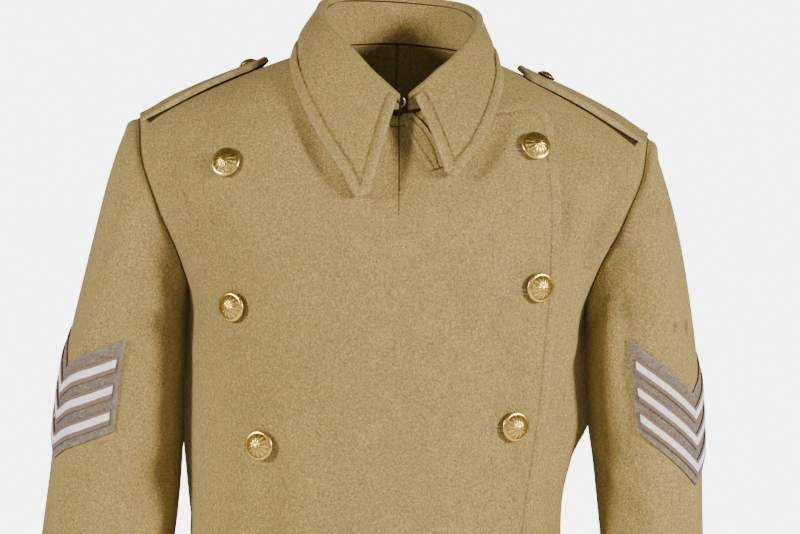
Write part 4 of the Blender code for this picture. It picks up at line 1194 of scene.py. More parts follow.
# %% Sleeves
# Sleeve rings from the armhole to the cuff: outer point, inner point, half depth, forward swing
SLEEVE_ROWS = {
    "left": table(
        ("out_x", "out_z", "in_x", "in_z", "depth", "swing"),
        (229.0, -68, 176.5, -225, 62, 0),
        (238.0, -88, 177.0, -232, 64, 0),
        (250.0, -123, 177.2, -243, 66, 1),
        (261.0, -164, 177.6, -258, 66, 1),
        (270.5, -210, 178.6, -278, 65, 1),
        (278.5, -258, 180.5, -302, 64, 1),
        (284.0, -305, 184.5, -330, 63, 2),
        (287.0, -352, 189.5, -358, 62, 4),
        (289.0, -402, 195.0, -398, 60, 8),
        (292.0, -456, 201.0, -446, 58, 15),
        (297.0, -525, 208.0, -512, 56, 26),
        (303.0, -602, 215.0, -588, 54, 40),
        (309.0, -684, 222.0, -670, 52, 56),
    ),
    "right": table(
        ("out_x", "out_z", "in_x", "in_z", "depth", "swing"),
        (229.0, -68, 176.5, -225, 62, 0),
        (243.0, -88, 176.9, -232, 64, 0),
        (253.5, -125, 176.9, -244, 66, 1),
        (262.5, -165, 176.9, -260, 66, 1),
        (272.0, -210, 176.4, -282, 65, 1),
        (281.5, -258, 176.6, -308, 64, 1),
        (288.5, -305, 176.8, -336, 63, 2),
        (292.0, -352, 177.2, -366, 62, 4),
        (295.5, -402, 178.2, -406, 60, 8),
        (299.5, -456, 181.5, -452, 58, 15),
        (304.0, -525, 190.5, -518, 56, 26),
        (310.0, -602, 202.5, -592, 54, 40),
        (317.0, -684, 214.0, -672, 52, 56),
    ),
}
HEAD_FADE_ROWS = 2.4
# The soft roll of the sleeve head beside the armhole seam: how far out, and how much more on the shoulder,
# which it reaches between two heights
HEAD_ROLL = {
    "out": 1.1, "more": 2.2, "place": 10.0, "wide": 8.0, "start": 5.0,
    "low_z": -150.0, "high_z": -75.0,
}
SLEEVE_STEP = 0.09


def ring_values(rows, at):
    return {name: along_rows(rows, name, at) for name in rows[0]}


def round_armhole(read_body):
    """Reads something of the body along the armhole: from the shoulder down the front and up the back."""
    rise = yoke_levels(90.0)[::-1, 0]
    theta = armhole_theta(rise)
    front = read_body(theta, rise)
    back = read_body(math.pi - theta, rise)
    return np.vstack([front, back[::-1][1:-1]])


def loop_angles(loop, rows):
    """Angle round the sleeve that belongs to each point of the armhole."""
    first = rows[0]
    middle = np.array([(first["out_x"] + first["in_x"]) / 2, (first["out_z"] + first["in_z"]) / 2])
    half = np.array([(first["out_x"] - first["in_x"]) / 2, (first["out_z"] - first["in_z"]) / 2])
    flat = loop[:, [0, 2]] - middle
    angle = np.arccos(np.clip(flat @ half / (half @ half), -1.0, 1.0))
    return np.where(loop[:, 1] > 0, 2 * math.pi - angle, angle)


def sleeve_ring(rows, angle, at):
    """A point on the sleeve's outside: angle from the outer line to the front, at a row of the table."""
    v = ring_values(rows, at)
    x = (v["out_x"] + v["in_x"]) / 2 + (v["out_x"] - v["in_x"]) / 2 * np.cos(angle)
    z = (v["out_z"] + v["in_z"]) / 2 + (v["out_z"] - v["in_z"]) / 2 * np.cos(angle)
    y = -v["swing"] - v["depth"] * np.sin(angle)
    return stack(x, y, z)


def tube_normals(points):
    """Outward normals of a grid that closes on itself from column to column."""
    across = np.roll(points, -1, axis=1) - np.roll(points, 1, axis=1)
    down = np.gradient(points, axis=0)
    return unit(np.cross(across, down))


def mitre(own, other):
    """The direction of a seam's end face, shared where the two walls meet at a corner."""
    near = smooth(-0.3, 0.3, np.sum(own * other, axis=-1))
    return unit(own + near[..., None] * other)


def sleeve_crease_lines(side_name):
    rows = SLEEVE_ROWS[side_name]
    return crease_lines(SLEEVE_CREASES[side_name], lambda turn, at: sleeve_ring(rows, np.radians(turn), at))


SLEEVE_LINES = {side_name: sleeve_crease_lines(side_name) for side_name in SLEEVE_ROWS}


def sleeve_height(side_name, points):
    """How far the sleeve's cloth stands out in its creases, in the side's own sense."""
    return sum(crease_height(points, *line) for line in SLEEVE_LINES[side_name])


def armhole_loop(side):
    """The armhole's line on the creased body, in the side's own sense."""
    flip = np.array([side, 1.0, 1.0])

    def seam_point(theta, level):
        base = body_base(side * theta, level)
        drawn = body_height(base) - SEAM_GROOVE
        return (base + body_normal(side * theta, level) * drawn[..., None]) * flip

    return round_armhole(seam_point)


def sleeve_points(side, side_name, at):
    rows = SLEEVE_ROWS[side_name]
    plain = round_armhole(body_base)
    angle = loop_angles(plain, rows)
    at = np.asarray(at, float)[:, None]
    points = sleeve_ring(rows, angle[None, :], at)
    start = sleeve_ring(rows, angle, np.zeros(len(angle)))
    fade = 1.0 - smooth(0.0, HEAD_FADE_ROWS, at)
    points = points + fade[..., None] * (plain - start)[None]
    meet = 1.0 - smooth(0.0, 0.5, at)
    return points + meet[..., None] * (armhole_loop(side) - plain)[None]


def head_normals(side, side_name):
    """Normals of the sleeve's first row, in the side's own sense."""
    points = sleeve_points(side, side_name, (0.0, 0.12))
    return tube_normals(points)[0]


def armhole_faces(side, side_name, own, back):
    """End faces of a body piece along the armhole, from the armpit up."""
    head = head_normals(side, side_name) * np.array([side, 1.0, 1.0])
    above = COMMON_ROWS + TOP_ROWS_ABOVE
    if back:
        order = [(above + k) % len(head) for k in range(above + 1)]
    else:
        order = [above - k for k in range(above + 1)]
    return mitre(own, head[order])


def make_sleeve(side, side_name):
    rows = SLEEVE_ROWS[side_name]
    count = int((len(rows) - 1) / SLEEVE_STEP)
    at = np.linspace(0.0, len(rows) - 1.0, count + 1)
    points = sleeve_points(side, side_name, at)
    own = tube_normals(points)
    normals = own.copy()
    normals[0] = mitre(own[0], round_armhole(body_normal))
    height = sleeve_height(side_name, points) * smooth(0.0, 1.0, at)[:, None]
    seam = np.linalg.norm(points - points[:1], axis=-1)
    high = smooth(HEAD_ROLL["low_z"], HEAD_ROLL["high_z"], points[..., 2])
    roll = groove_at(seam, HEAD_ROLL["place"], HEAD_ROLL["wide"]) * smooth(0.0, HEAD_ROLL["start"], seam)
    roll = roll * (HEAD_ROLL["out"] + HEAD_ROLL["more"] * high)
    points = points + own * (height + roll)[..., None]
    points[0] -= unit(points[1] - points[0]) * SEAM_OVER
    cuff = np.linalg.norm(points - points[-1:], axis=-1)
    marks = {"border": cuff, "seam": seam}
    flip = np.array([side, 1.0, 1.0])
    outer = points * flip
    inner = (points - normals * WALL) * flip
    name = f"sleeve_cloth_{side_name}"
    cloth = marked_wool if side > 0 else wool
    return cloth_wall(name, f"sleeve_{side_name}", outer, inner, cloth, marks, closed=True)


make_panel("front_cloth_left", "front_left", 1, False)
make_panel("front_cloth_right", "front_right", -1, False)
make_panel("back_cloth_left", "back_left", 1, True)
make_panel("back_cloth_right", "back_right", -1, True)
make_sleeve(1, "left")
make_sleeve(-1, "right")
print("cuts so far:", CUTS)

# %% [markdown]
# The collar has a stand, which follows the neckline, and a fall, which rolls over it and lies on the coat.
# Its two points are uneven, as worn: the wearer's right one is longer and closer to the middle.
# The fall is a surface between its roll line and its free edge, pushed out wherever it would sink in.

# %% Collar
# Collar stations from one end at the throat, round the back of the neck, to the other end:
# seam on the neckline, top of the roll, and free edge of the fall, which lies on the coat
COLLAR_ROWS = table(
    ("seam_x", "back", "roll", "edge", "lift"),
    (14.0, 0, (14.4, -97, -44), (44.5, -115), 13.0),
    (18.0, 0, (19.2, -94, -39), (53.0, -118), 12.3),
    (22.0, 0, (24.5, -91, -34), (61.0, -108), 11.5),
    (34.0, 0, (36.0, -83, -22), (74.0, -89), 10.5),
    (46.0, 0, (49.5, -69, -9), (86.0, -60), 9.5),
    (58.0, 0, (62.0, -46, 8), (91.5, -34), 8.5),
    (66.6, 0, (71.0, -18, 25), (86.5, -12), 6.5),
    (60.0, 1, (71.5, 16, 41), (80.5, -13), 6.5),
    (40.0, 1, (51.5, 48, 52), (56.0, -15), 6.5),
    (0.0, 1, (0.0, 69, 58), (0.0, -6), 5.5),
    (-40.0, 1, (-48.0, 49, 55), (-56.0, -15), 6.5),
    (-60.0, 1, (-67.0, 20, 47), (-82.0, -13), 6.5),
    (-66.6, 0, (-68.5, -14, 33), (-89.0, -11), 6.5),
    (-57.0, 0, (-57.0, -44, 13), (-90.0, -28), 8.0),
    (-42.0, 0, (-39.5, -69, -4), (-81.5, -53), 8.8),
    (-26.0, 0, (-21.0, -85, -24), (-63.5, -85), 9.0),
    (-10.0, 0, (-6.5, -92, -37), (-42.0, -116), 9.0),
    (-3.5, 0, (-1.2, -94.5, -41.5), (-29.0, -137), 9.5),
    (3.0, 0, (4.1, -97, -46), (-17.0, -133.5), 9.5),
)
# The roll of the collar, from its foot on the stand to where the fall begins: out from the top, and down
ROLL_PROFILE = table(
    ("out", "down"),
    (-4.4, 7.0),
    (-4.3, 3.8),
    (-2.8, 1.0),
    (0.0, 0.0),
    (3.0, 1.1),
    (4.8, 4.4),
)
FALL_BULGE = 3.5
STAND_WALL = 3.0
STAND_TOP_GAP = 1.1
STAND_INSET = 1.0
STAND_GAP = 0.2
COLLAR_STEPS = 11
ROLL_STEPS = 3
FALL_ROWS = 40
COLLAR_EDGE = (
    {"place": 10.0, "wide": 2.4, "out": -0.8},
    {"place": 4.6, "wide": 3.4, "out": 0.7},
)
STAND_SHARES = 8
NECK_MIDDLE = (0.0, -15.0, 0.0)
# The two ends of the collar meet here: one is sewn to each front
COLLAR_MEETS_X = 8.0


def outside(points, back):
    """Rough distance of points from the coat's outside near the shoulders, and the way out."""

    def height(p):
        x = p[..., 0]
        depth = np.where(back, BODY_ROWS[0]["back"], BODY_ROWS[0]["front"])
        ring = (1.0 - np.clip(np.abs(x) / YOKE_HALF, 0.0, 0.99) ** 2) ** (RING_POWER / 2)
        power = 2.0 / ARCH_POWER
        level = (np.abs(p[..., 1]) / (depth * ring)) ** power
        tall = (np.clip(p[..., 2] - CHEST_Z, 1.0, None) / (shoulder_top(x, back) - CHEST_Z)) ** power
        return level + tall - 1.0

    step = 0.5
    slope = np.stack(
        [(height(points + step * axis) - height(points - step * axis)) / (2 * step) for axis in np.eye(3)],
        axis=-1,
    )
    size = np.maximum(np.linalg.norm(slope, axis=-1), 1e-6)
    return height(points) / size, slope / size[..., None]


def collar_lines(steps):
    """Seam, roll top, free edge and lift of the collar at each station, smoothly filled in."""
    count = len(COLLAR_ROWS)
    seams = []
    edges = []
    for row in COLLAR_ROWS:
        x = row["seam_x"]
        own_side = -1.0 if x < COLLAR_MEETS_X else 1.0
        if row["back"]:
            z = NECK_BACK_RISE * max(0.0, 1.0 - (x / NECK_HALF) ** 2)
        else:
            z = float(neck_top(own_side, np.asarray(abs(x) if own_side * x > 0 else -abs(x))))
        theta, level = place_at(x, z, row["back"])
        lift = 0.0 if row["back"] else lap_lift(own_side, theta, level)
        seams.append(body_point(theta, level, lift))
        edge_x, edge_z = row["edge"]
        theta, level = place_at(edge_x, edge_z, row["back"])
        edges.append(body_point(theta, level, row["lift"]))
    knots = np.arange(count, dtype=float)
    at = np.linspace(0.0, count - 1.0, (count - 1) * steps + 1)
    seams = np.array(seams)
    edges = np.array(edges)
    rolls = np.array([row["roll"] for row in COLLAR_ROWS], float)
    lifts = curve(knots, column(COLLAR_ROWS, "lift"), at)

    def fill(points):
        return np.stack([curve(knots, points[:, axis], at) for axis in range(3)], axis=-1)

    return fill(seams), fill(rolls), fill(edges), lifts


def collar_frame(seams, rolls):
    """At each station, the way up the stand and the way out from the neck."""
    along = np.gradient(rolls, axis=0)
    up = unit(rolls - seams)
    out = unit(np.cross(up, along))
    level_way = (rolls - np.array(NECK_MIDDLE)) * np.array([1.0, 1.0, 0.0])
    turn = np.sign(np.sum(out * level_way, axis=-1, keepdims=True))
    return up, out * turn


def roll_profile():
    """The roll's section at a finer step."""
    last = len(ROLL_PROFILE) - 1
    at = np.linspace(0.0, last, last * ROLL_STEPS + 1)
    return along_rows(ROLL_PROFILE, "out", at), along_rows(ROLL_PROFILE, "down", at)


def make_collar():
    seams, rolls, edges, lifts = collar_lines(COLLAR_STEPS)
    up, out = collar_frame(seams, rolls)
    outs, downs = roll_profile()
    rows = [rolls + out * o - up * d for o, d in zip(outs, downs)]
    start = rows[-1]
    for number in range(1, FALL_ROWS + 1):
        part = number / FALL_ROWS
        line = start + (edges - start) * part
        rows.append(line + out * FALL_BULGE * math.sin(math.pi * part))
    points = np.array(rows)
    back = points[..., 1] > 0
    first = len(outs)
    for _ in range(4):
        distance, way = outside(points[first:], back[first:])
        need = np.clip(lifts[None, :] - distance, 0.0, None)
        points[first:] += way * need[..., None]
    across = np.gradient(points, axis=1)
    down = np.gradient(points, axis=0)
    normals = unit(np.cross(down, across))
    flip = np.sign(np.sum(normals * out[None], axis=-1).mean())
    free = distance_to(points, points[-1])
    ends = np.minimum(distance_to(points, points[first:, 0]), distance_to(points, points[first:, -1]))
    border = np.minimum(free, ends)
    on_fall = smooth(first - 1.0, first + 3.0, np.arange(len(points)))[:, None]
    height = relief_at(border, COLLAR_EDGE) * on_fall
    points = points + normals * flip * height[..., None]
    marks = {"border": np.where(on_fall > 0, border, FAR)}
    inner = points - normals * WALL
    name = "collar_fall_cloth"
    cloth_wall(name, "collar_fall", points, inner, collar_wool, marks)
    foot = seams + up * STAND_GAP
    top = rolls - up * (ROLL_PROFILE[0]["down"] + STAND_TOP_GAP)
    top = top + out * ROLL_PROFILE[0]["out"]
    share = np.linspace(0.0, 1.0, STAND_SHARES)[:, None, None]
    outer = (foot - out * STAND_INSET) * (1 - share) + (top + out * STAND_WALL) * share
    inner = (foot - out * (STAND_INSET + STAND_WALL)) * (1 - share) + top * share
    cloth_wall("collar_stand_cloth", "collar_stand", outer, inner, wool, {})


make_collar()
print("collar:", CUTS["collar_fall_cloth"], "stand:", CUTS["collar_stand_cloth"])

# %% [markdown]
# A narrow stitched strip shows under the end of the collar, from the throat down.

# %% Throat strip
# Its two long sides, from the top down
TAB_ROWS = table(
    ("left_x", "left_z", "right_x", "right_z"),
    (7.0, -60.0, 16.0, -60.0),
    (12.0, -75.0, 28.0, -74.0),
    (21.5, -93.0, 38.0, -91.0),
    (33.0, -112.0, 44.0, -108.0),
)
TAB_WALL = 2.0
TAB_LIFT = 0.6
TAB_POINTS_LONG = 26
TAB_POINTS_WIDE = 13


def make_tab():
    at = np.linspace(0.0, len(TAB_ROWS) - 1, TAB_POINTS_LONG)[:, None]
    share = np.linspace(0.0, 1.0, TAB_POINTS_WIDE)
    left_x, left_z, right_x, right_z = (along_rows(TAB_ROWS, name, at) for name in TAB_ROWS[0])
    theta, level = place_at(left_x + (right_x - left_x) * share, left_z + (right_z - left_z) * share)
    lift = lap_lift(-1, theta, level) + TAB_LIFT
    outer = body_skin(theta, level, lift + TAB_WALL)
    inner = body_skin(theta, level, lift)
    border = np.minimum(distance_to(outer, outer[:, 0]), distance_to(outer, outer[:, -1]))
    cloth_wall(
        "throat_strip_cloth", "throat_tab", outer, inner, strip_wool, {"border": border},
    )


make_tab()
print("strip:", CUTS["throat_strip_cloth"])

# %% [markdown]
# Each shoulder strap is a long tongue, sewn into the armhole seam and buttoned near the neck. It is
# doubled cloth with a stitched edge, rises off the shoulder a little at its point, and hangs a little
# lower along its front edge.

# %% Shoulder straps
STRAP_WALL = 5.0
STRAP_SEWN_WALL = 2.0
STRAP_SEWN_X = 196.0
STRAP_LIFT = 0.7
STRAP_SEWN_LIFT = 0.35
STRAP_ARCH = 1.6
STRAP_SEAM_X = 226.5
STRAP_HALF_SEAM = 31.0
STRAP_HALF_TIP = 20.5
STRAP_TIP_ROUND = 18.0
STRAP_CURVE = 75.0
# Where each strap's point lies, how far forward the strap sits, how far its point rises off the shoulder,
# and where its button sits, back from the point and across
STRAP_PLACES = {
    "left": {"tip_x": 107.0, "forward": 10.0, "tip_rise": 2.0, "button_back": 24.0, "across": -4.0},
    "right": {"tip_x": 113.0, "forward": 2.0, "tip_rise": 3.0, "button_back": 17.0, "across": 5.0},
}
STRAP_TIP_CROWD = 1.7
STRAP_ROWS = 62
STRAP_COLUMNS = 27
# The strap's front edge hangs lower from the middle of the strap out to its seam
STRAP_DROOP = {"low": 1.5, "from_x": 145.0, "to_x": 212.0}
STRAP_EDGE = (
    {"place": 5.5, "wide": 1.6, "out": -0.7},
    {"place": 2.8, "wide": 1.6, "out": 0.4},
    {"place": 0.0, "wide": 1.6, "out": -1.1},
)


def strap_point(side, x, across, rise, forward):
    """A point on a shoulder strap's top, across it by a distance."""
    level = np.full(np.shape(x), 89.0)
    theta = np.arcsin(np.clip(x / YOKE_HALF, -1.0, 1.0))
    normal = body_normal(theta, level)
    top = stack(x, 0.0 * x, shoulder_top(x, 0))
    spread = across - forward
    drop = spread * spread / (2 * STRAP_CURVE)
    point = top + normal * (rise - drop)[..., None] + stack(0 * x, spread, 0 * x)
    return point * np.array([side, 1.0, 1.0])


def strap_half(x, tip_x):
    part = (x - tip_x) / (STRAP_SEAM_X - tip_x)
    width = STRAP_HALF_TIP + (STRAP_HALF_SEAM - STRAP_HALF_TIP) * part
    short = np.clip(1.0 - (x - tip_x) / STRAP_TIP_ROUND, 0.0, 0.97)
    return width * np.sqrt(1.0 - short**2)


def strap_rise(x, place):
    """Height of a strap's underside over the shoulder: it arches between its point and its seam."""
    part = (x - place["tip_x"]) / (STRAP_SEAM_X - place["tip_x"])
    low = STRAP_LIFT + (STRAP_SEWN_LIFT - STRAP_LIFT) * part
    return low + place["tip_rise"] * (1.0 - part) ** 2 + STRAP_ARCH * np.sin(math.pi * part) ** 2


def strap_wall(x):
    """Thickness of a strap, which is flattened where it is sewn into the armhole seam."""
    return STRAP_WALL + (STRAP_SEWN_WALL - STRAP_WALL) * smooth(STRAP_SEWN_X, STRAP_SEAM_X, x)


def strap_grid(side_name):
    place = STRAP_PLACES[side_name]
    part = np.linspace(0.0, 1.0, STRAP_ROWS) ** STRAP_TIP_CROWD
    x = place["tip_x"] + part * (STRAP_SEAM_X - place["tip_x"])
    share = np.linspace(-1.0, 1.0, STRAP_COLUMNS)
    spread = strap_half(x, place["tip_x"])[:, None] * share[None, :]
    return np.repeat(x[:, None], len(share), axis=1), spread


def make_strap(side, side_name):
    place = STRAP_PLACES[side_name]
    along, spread = strap_grid(side_name)
    front = np.clip(-spread / STRAP_HALF_SEAM, 0.0, 1.0)
    droop = STRAP_DROOP["low"] * front**2 * smooth(STRAP_DROOP["from_x"], STRAP_DROOP["to_x"], along)
    rise = strap_rise(along, place) - droop
    outer = strap_point(side, along, spread, rise + strap_wall(along), place["forward"])
    inner = strap_point(side, along, spread, rise, place["forward"])
    rim = np.vstack([outer[:, 0][::-1], outer[0], outer[:, -1]])
    border = distance_to(outer, rim)
    outer = outer + unit(outer - inner) * relief_at(border, STRAP_EDGE)[..., None]
    name = f"strap_cloth_{side_name}"
    node = f"shoulder_strap_{side_name}"
    cloth_wall(name, node, outer, inner, strap_wool, {"border": border})


make_strap(1, "left")
make_strap(-1, "right")
print("straps:", CUTS["strap_cloth_left"], CUTS["strap_cloth_right"])

# %% [markdown]
# Rank chevrons are three stripes of herringbone tape on a felt ground, sewn on each upper arm. The tape
# is a ribbon with two tan edges and a pale ribbed middle, so its pattern comes from how far a point is
# along and across it. Those two lengths are stored on the mesh as a UV map.

# %% Chevron tape material
# Where the pale middle of the tape lies, in millimetres across it from its upper edge
TAPE_PALE = (2.2, 7.5)
TAPE_PALE_SOFT = 0.5
# Pale ribs, painted darker in their hollows as shade and lighter on top, the dirt on them, and the fibres
# of the tan edges
RIB_SHADED_AND_LIT = ((0.92, 0.85, 0.79), (1.0, 0.97, 0.93))
RIB_DIRT = (0.66, 0.53, 0.44)
TAN_COLOURS = ((0.16, 0.09, 0.052), (0.27, 0.165, 0.1))


def add_teeth(tree, value):
    """Falls from a half to 0 and rises back in every whole step of a value."""
    return add_math(tree, "ABSOLUTE", minus(tree, add_math(tree, "FRACT", value), 0.5))


def make_tape():
    material, tree, where = new_material("herringbone_tape")
    uv = add_node(tree, "ShaderNodeUVMap", {}, uv_map="tape")
    along = add_node(tree, "ShaderNodeSeparateXYZ", {0: uv}, "X")
    across = along.node.outputs["Y"]
    zigzag = add_teeth(tree, times(tree, across, 0.46))
    slanted = plus(tree, times(tree, along, 1.15), times(tree, zigzag, 1.7))
    rib = add_range(tree, add_teeth(tree, slanted), 0.08, 0.4)
    wave = times(tree, minus(tree, add_noise(tree, where, 260.0, 2.0), 0.5), 0.9)
    place = plus(tree, across, wave)
    low, high = TAPE_PALE
    starts = add_range(tree, place, low, low + TAPE_PALE_SOFT)
    ends = add_range(tree, place, high + TAPE_PALE_SOFT, high)
    dirt = add_range(tree, add_noise(tree, where, 70.0, 4.0, 0.65), 0.45, 0.8, 0.0, 0.4)
    # the ribs' pale colour is painted darker in their hollows, as shade
    white = add_mix(tree, dirt, add_mix(tree, rib, *RIB_SHADED_AND_LIT), RIB_DIRT)
    tan = add_mix(tree, add_noise(tree, where, 700.0, 2.0), *TAN_COLOURS)
    colour = add_mix(tree, times(tree, starts, ends, True), tan, white)
    fuzz = times(tree, add_noise(tree, where, 1500.0, 2.0), 0.5)
    relief = add_bump(tree, plus(tree, rib, fuzz), 0.0006, 0.6)
    set_shader(tree, {"Base Color": colour, "Normal": relief, "Roughness": 0.85, "Sheen Weight": 0.15})
    return material


tape = make_tape()
print("tape material:", tape.name)

# %% Chevrons on both sleeves
# Middle of each patch round the sleeve, height of the top of its valley, and how much it leans
CHEVRON_PLACES = {
    "left": {"middle_deg": 41.0, "valley_z": -295.0, "lean": 0.015},
    "right": {"middle_deg": 28.0, "valley_z": -295.0, "lean": 0.3},
}
CHEVRON_HALF = 64.0
CHEVRON_TALL = 80.0
CHEVRON_DROP = 48.0
CHEVRON_RADIUS = 57.0
CHEVRON_WALL = 1.4
CHEVRON_LIFT = 0.7
TAPE_WIDTH = 14.0
TAPE_PITCH = 23.0
TAPE_FIRST = 12.5
TAPE_WALL = 1.2
TAPE_COUNT = 3
PATCH_FROM_ROW = 2.5
PATCH_KNOTS = 240
TAPE_INSET = 5.0
TAPE_RAISED = 0.5
STRIP_COLUMNS = 49
STRIP_ROW_STEP = 2.2


def sleeve_patch(side, side_name, across, z, lift):
    """Points on a creased sleeve for distances round it and heights, moved out by a lift."""
    rows = SLEEVE_ROWS[side_name]
    angle = math.radians(CHEVRON_PLACES[side_name]["middle_deg"]) + across / CHEVRON_RADIUS
    knots = np.linspace(PATCH_FROM_ROW, len(rows) - 1.0, PATCH_KNOTS)
    turns = np.unique(angle.round(6))
    at = np.zeros(angle.shape)
    for turn in turns:
        line = sleeve_ring(rows, turn, knots)
        here = np.isclose(angle, turn, atol=1e-5)
        at[here] = np.interp(-z[here], -line[:, 2], knots)
    base = sleeve_ring(rows, angle, at)
    step = 0.02
    round_it = sleeve_ring(rows, angle + step, at) - sleeve_ring(rows, angle - step, at)
    down = sleeve_ring(rows, angle, at + step) - sleeve_ring(rows, angle, at - step)
    normal = unit(np.cross(round_it, down))
    height = sleeve_height(side_name, base) + lift
    return (base + normal * height[..., None]) * np.array([side, 1.0, 1.0])


def chevron_strip(
    name, node, side, side_name, top_drop, tall, half, lift, thick, material
):
    """A chevron-shaped strip on a sleeve: its top edge lies a drop below the top of the patch."""
    across = np.linspace(-half, half, STRIP_COLUMNS)
    place = CHEVRON_PLACES[side_name]
    rise = CHEVRON_DROP * np.abs(across) / CHEVRON_HALF - place["lean"] * across
    top = place["valley_z"] + rise - top_drop
    rows = max(5, int(tall / STRIP_ROW_STEP))
    share = np.linspace(1.0, 0.0, rows + 1)
    z = top[None, :] - tall * share[:, None]
    spread = np.repeat(across[None, :], rows + 1, axis=0)
    outer = sleeve_patch(side, side_name, spread, z, lift + thick)
    inner = sleeve_patch(side, side_name, spread, z, lift)
    rims = (outer[0], outer[-1], outer[:, 0], outer[:, -1])
    marks = {"border": np.min([distance_to(outer, rim) for rim in rims], axis=0)}
    piece = cloth_wall(
        name, node, outer, inner, material, marks
    )
    slope = math.hypot(CHEVRON_HALF, CHEVRON_DROP) / CHEVRON_HALF
    length = np.abs(across) * slope
    grid = np.broadcast_arrays(length[None, :], (tall * share / slope)[:, None])
    both = np.tile(np.stack(grid, axis=-1).reshape(-1, 2), (2, 1))
    layer = piece.data.uv_layers.new(name="tape")
    corners = np.zeros(len(piece.data.loops), int)
    piece.data.loops.foreach_get("vertex_index", corners)
    layer.data.foreach_set("uv", both[corners].reshape(-1).astype(np.float32))
    return piece


def make_chevrons(side, side_name):
    patch = f"chevron_patch_{side_name}"
    stripes = [
        chevron_strip(
            f"chevron_stripe_{side_name}_{number + 1}", f"chevron_tape_{side_name}_{number + 1}",
            side, side_name, TAPE_FIRST + number * TAPE_PITCH, TAPE_WIDTH, CHEVRON_HALF - TAPE_INSET,
            CHEVRON_LIFT + CHEVRON_WALL + TAPE_RAISED, TAPE_WALL, tape,
        )
        for number in range(TAPE_COUNT)
    ]
    chevron_strip(
        patch, f"chevron_felt_{side_name}", side, side_name, 0.0, CHEVRON_TALL, CHEVRON_HALF,
        CHEVRON_LIFT, CHEVRON_WALL, felt,
    )


make_chevrons(1, "left")
make_chevrons(-1, "right")
print("chevron ground:", CUTS["chevron_patch_left"])

# %% [markdown]
# The buttons are stamped from brass sheet and gilt: a low rim round a domed middle with a raised design.
# A plain rosette with a beaded ring stands for the design. Brass keeps a brown tarnish in its hollows
# and is bright on top, so the height of the relief is stored on the mesh and drives the colour.

# %% Brass
TARNISHED = (0.36, 0.2, 0.035)
GILT = (0.92, 0.62, 0.14)


def make_brass():
    material, tree, where = new_material("gilt_brass")
    cloud = add_noise(tree, where, 420.0, 3.0, 0.6)
    bright = plus(tree, times(tree, stored(tree, "relief"), 0.9), times(tree, cloud, 0.35))
    bright = add_range(tree, bright, 0.2, 0.95)
    colour = add_mix(tree, bright, TARNISHED, GILT)
    roughness = add_range(tree, bright, 0.0, 1.0, 0.44, 0.22)
    grain = add_bump(tree, add_noise(tree, where, 1600.0, 3.0), 0.0003, 0.25)
    set_shader(tree, {"Base Color": colour, "Roughness": roughness, "Metallic": 1.0, "Normal": grain})
    return material


brass = make_brass()
print("brass:", brass.name)

# %% Buttons
BUTTON_RADIUS = 13.0
# Places of the front buttons, from the collar down: near the lap's edge, and on the other side
BUTTON_ROWS = table(
    ("edge_x", "edge_z", "side_x", "side_z"),
    (120.6, -88.7, -140.4, -111.8),
    (127.0, -205.7, -127.9, -233.2),
    (110.8, -325.3, -100.1, -349.8),
    (104.0, -443.0, -98.0, -466.0),
    (101.0, -561.0, -97.0, -584.0),
)
BUTTON_GAP = 0.62
STRAP_BUTTON_RADIUS = 8.5
STRAP_BUTTON_LOW = 0.22
STRAP_BUTTON_TWIST = 0.4
# How far each front button is turned from the one above it, in radians
BUTTON_TWISTS = {"edge": 0.7, "side": 1.1}
# Half section of the button's front, in parts of its radius, with the share of the relief at each ring
FACE_ROWS = table(
    ("out", "up", "relief"),
    (1.00, 0.27, 0.0),
    (0.985, 0.312, 0.0),
    (0.94, 0.347, 0.0),
    (0.885, 0.37, 0.0),
    (0.84, 0.378, 0.0),
    (0.79, 0.412, 0.25),
    (0.72, 0.468, 0.9),
    (0.64, 0.515, 1.0),
    (0.55, 0.565, 1.0),
    (0.45, 0.61, 1.0),
    (0.35, 0.645, 0.9),
    (0.26, 0.668, 0.6),
    (0.18, 0.685, 0.2),
    (0.09, 0.72, 0.0),
)
BACK_ROWS = table(
    ("out", "up"),
    (0.97, 0.19),
    (0.6, 0.16),
    (0.28, 0.17),
    (0.24, 0.0),
)
BUTTON_TURNS = 72
BUTTON_TIP = 0.735
PETALS = 12
PETAL_HEIGHT = 0.062
PETAL_LEAN = 0.7
BEADS = 36
BEAD_HEIGHT = 0.018
BEAD_RING = (0.87, 0.95)
# The share of brightness on plain metal, and on the back
PLAIN_SHINE = 0.7
BACK_SHINE = 0.2


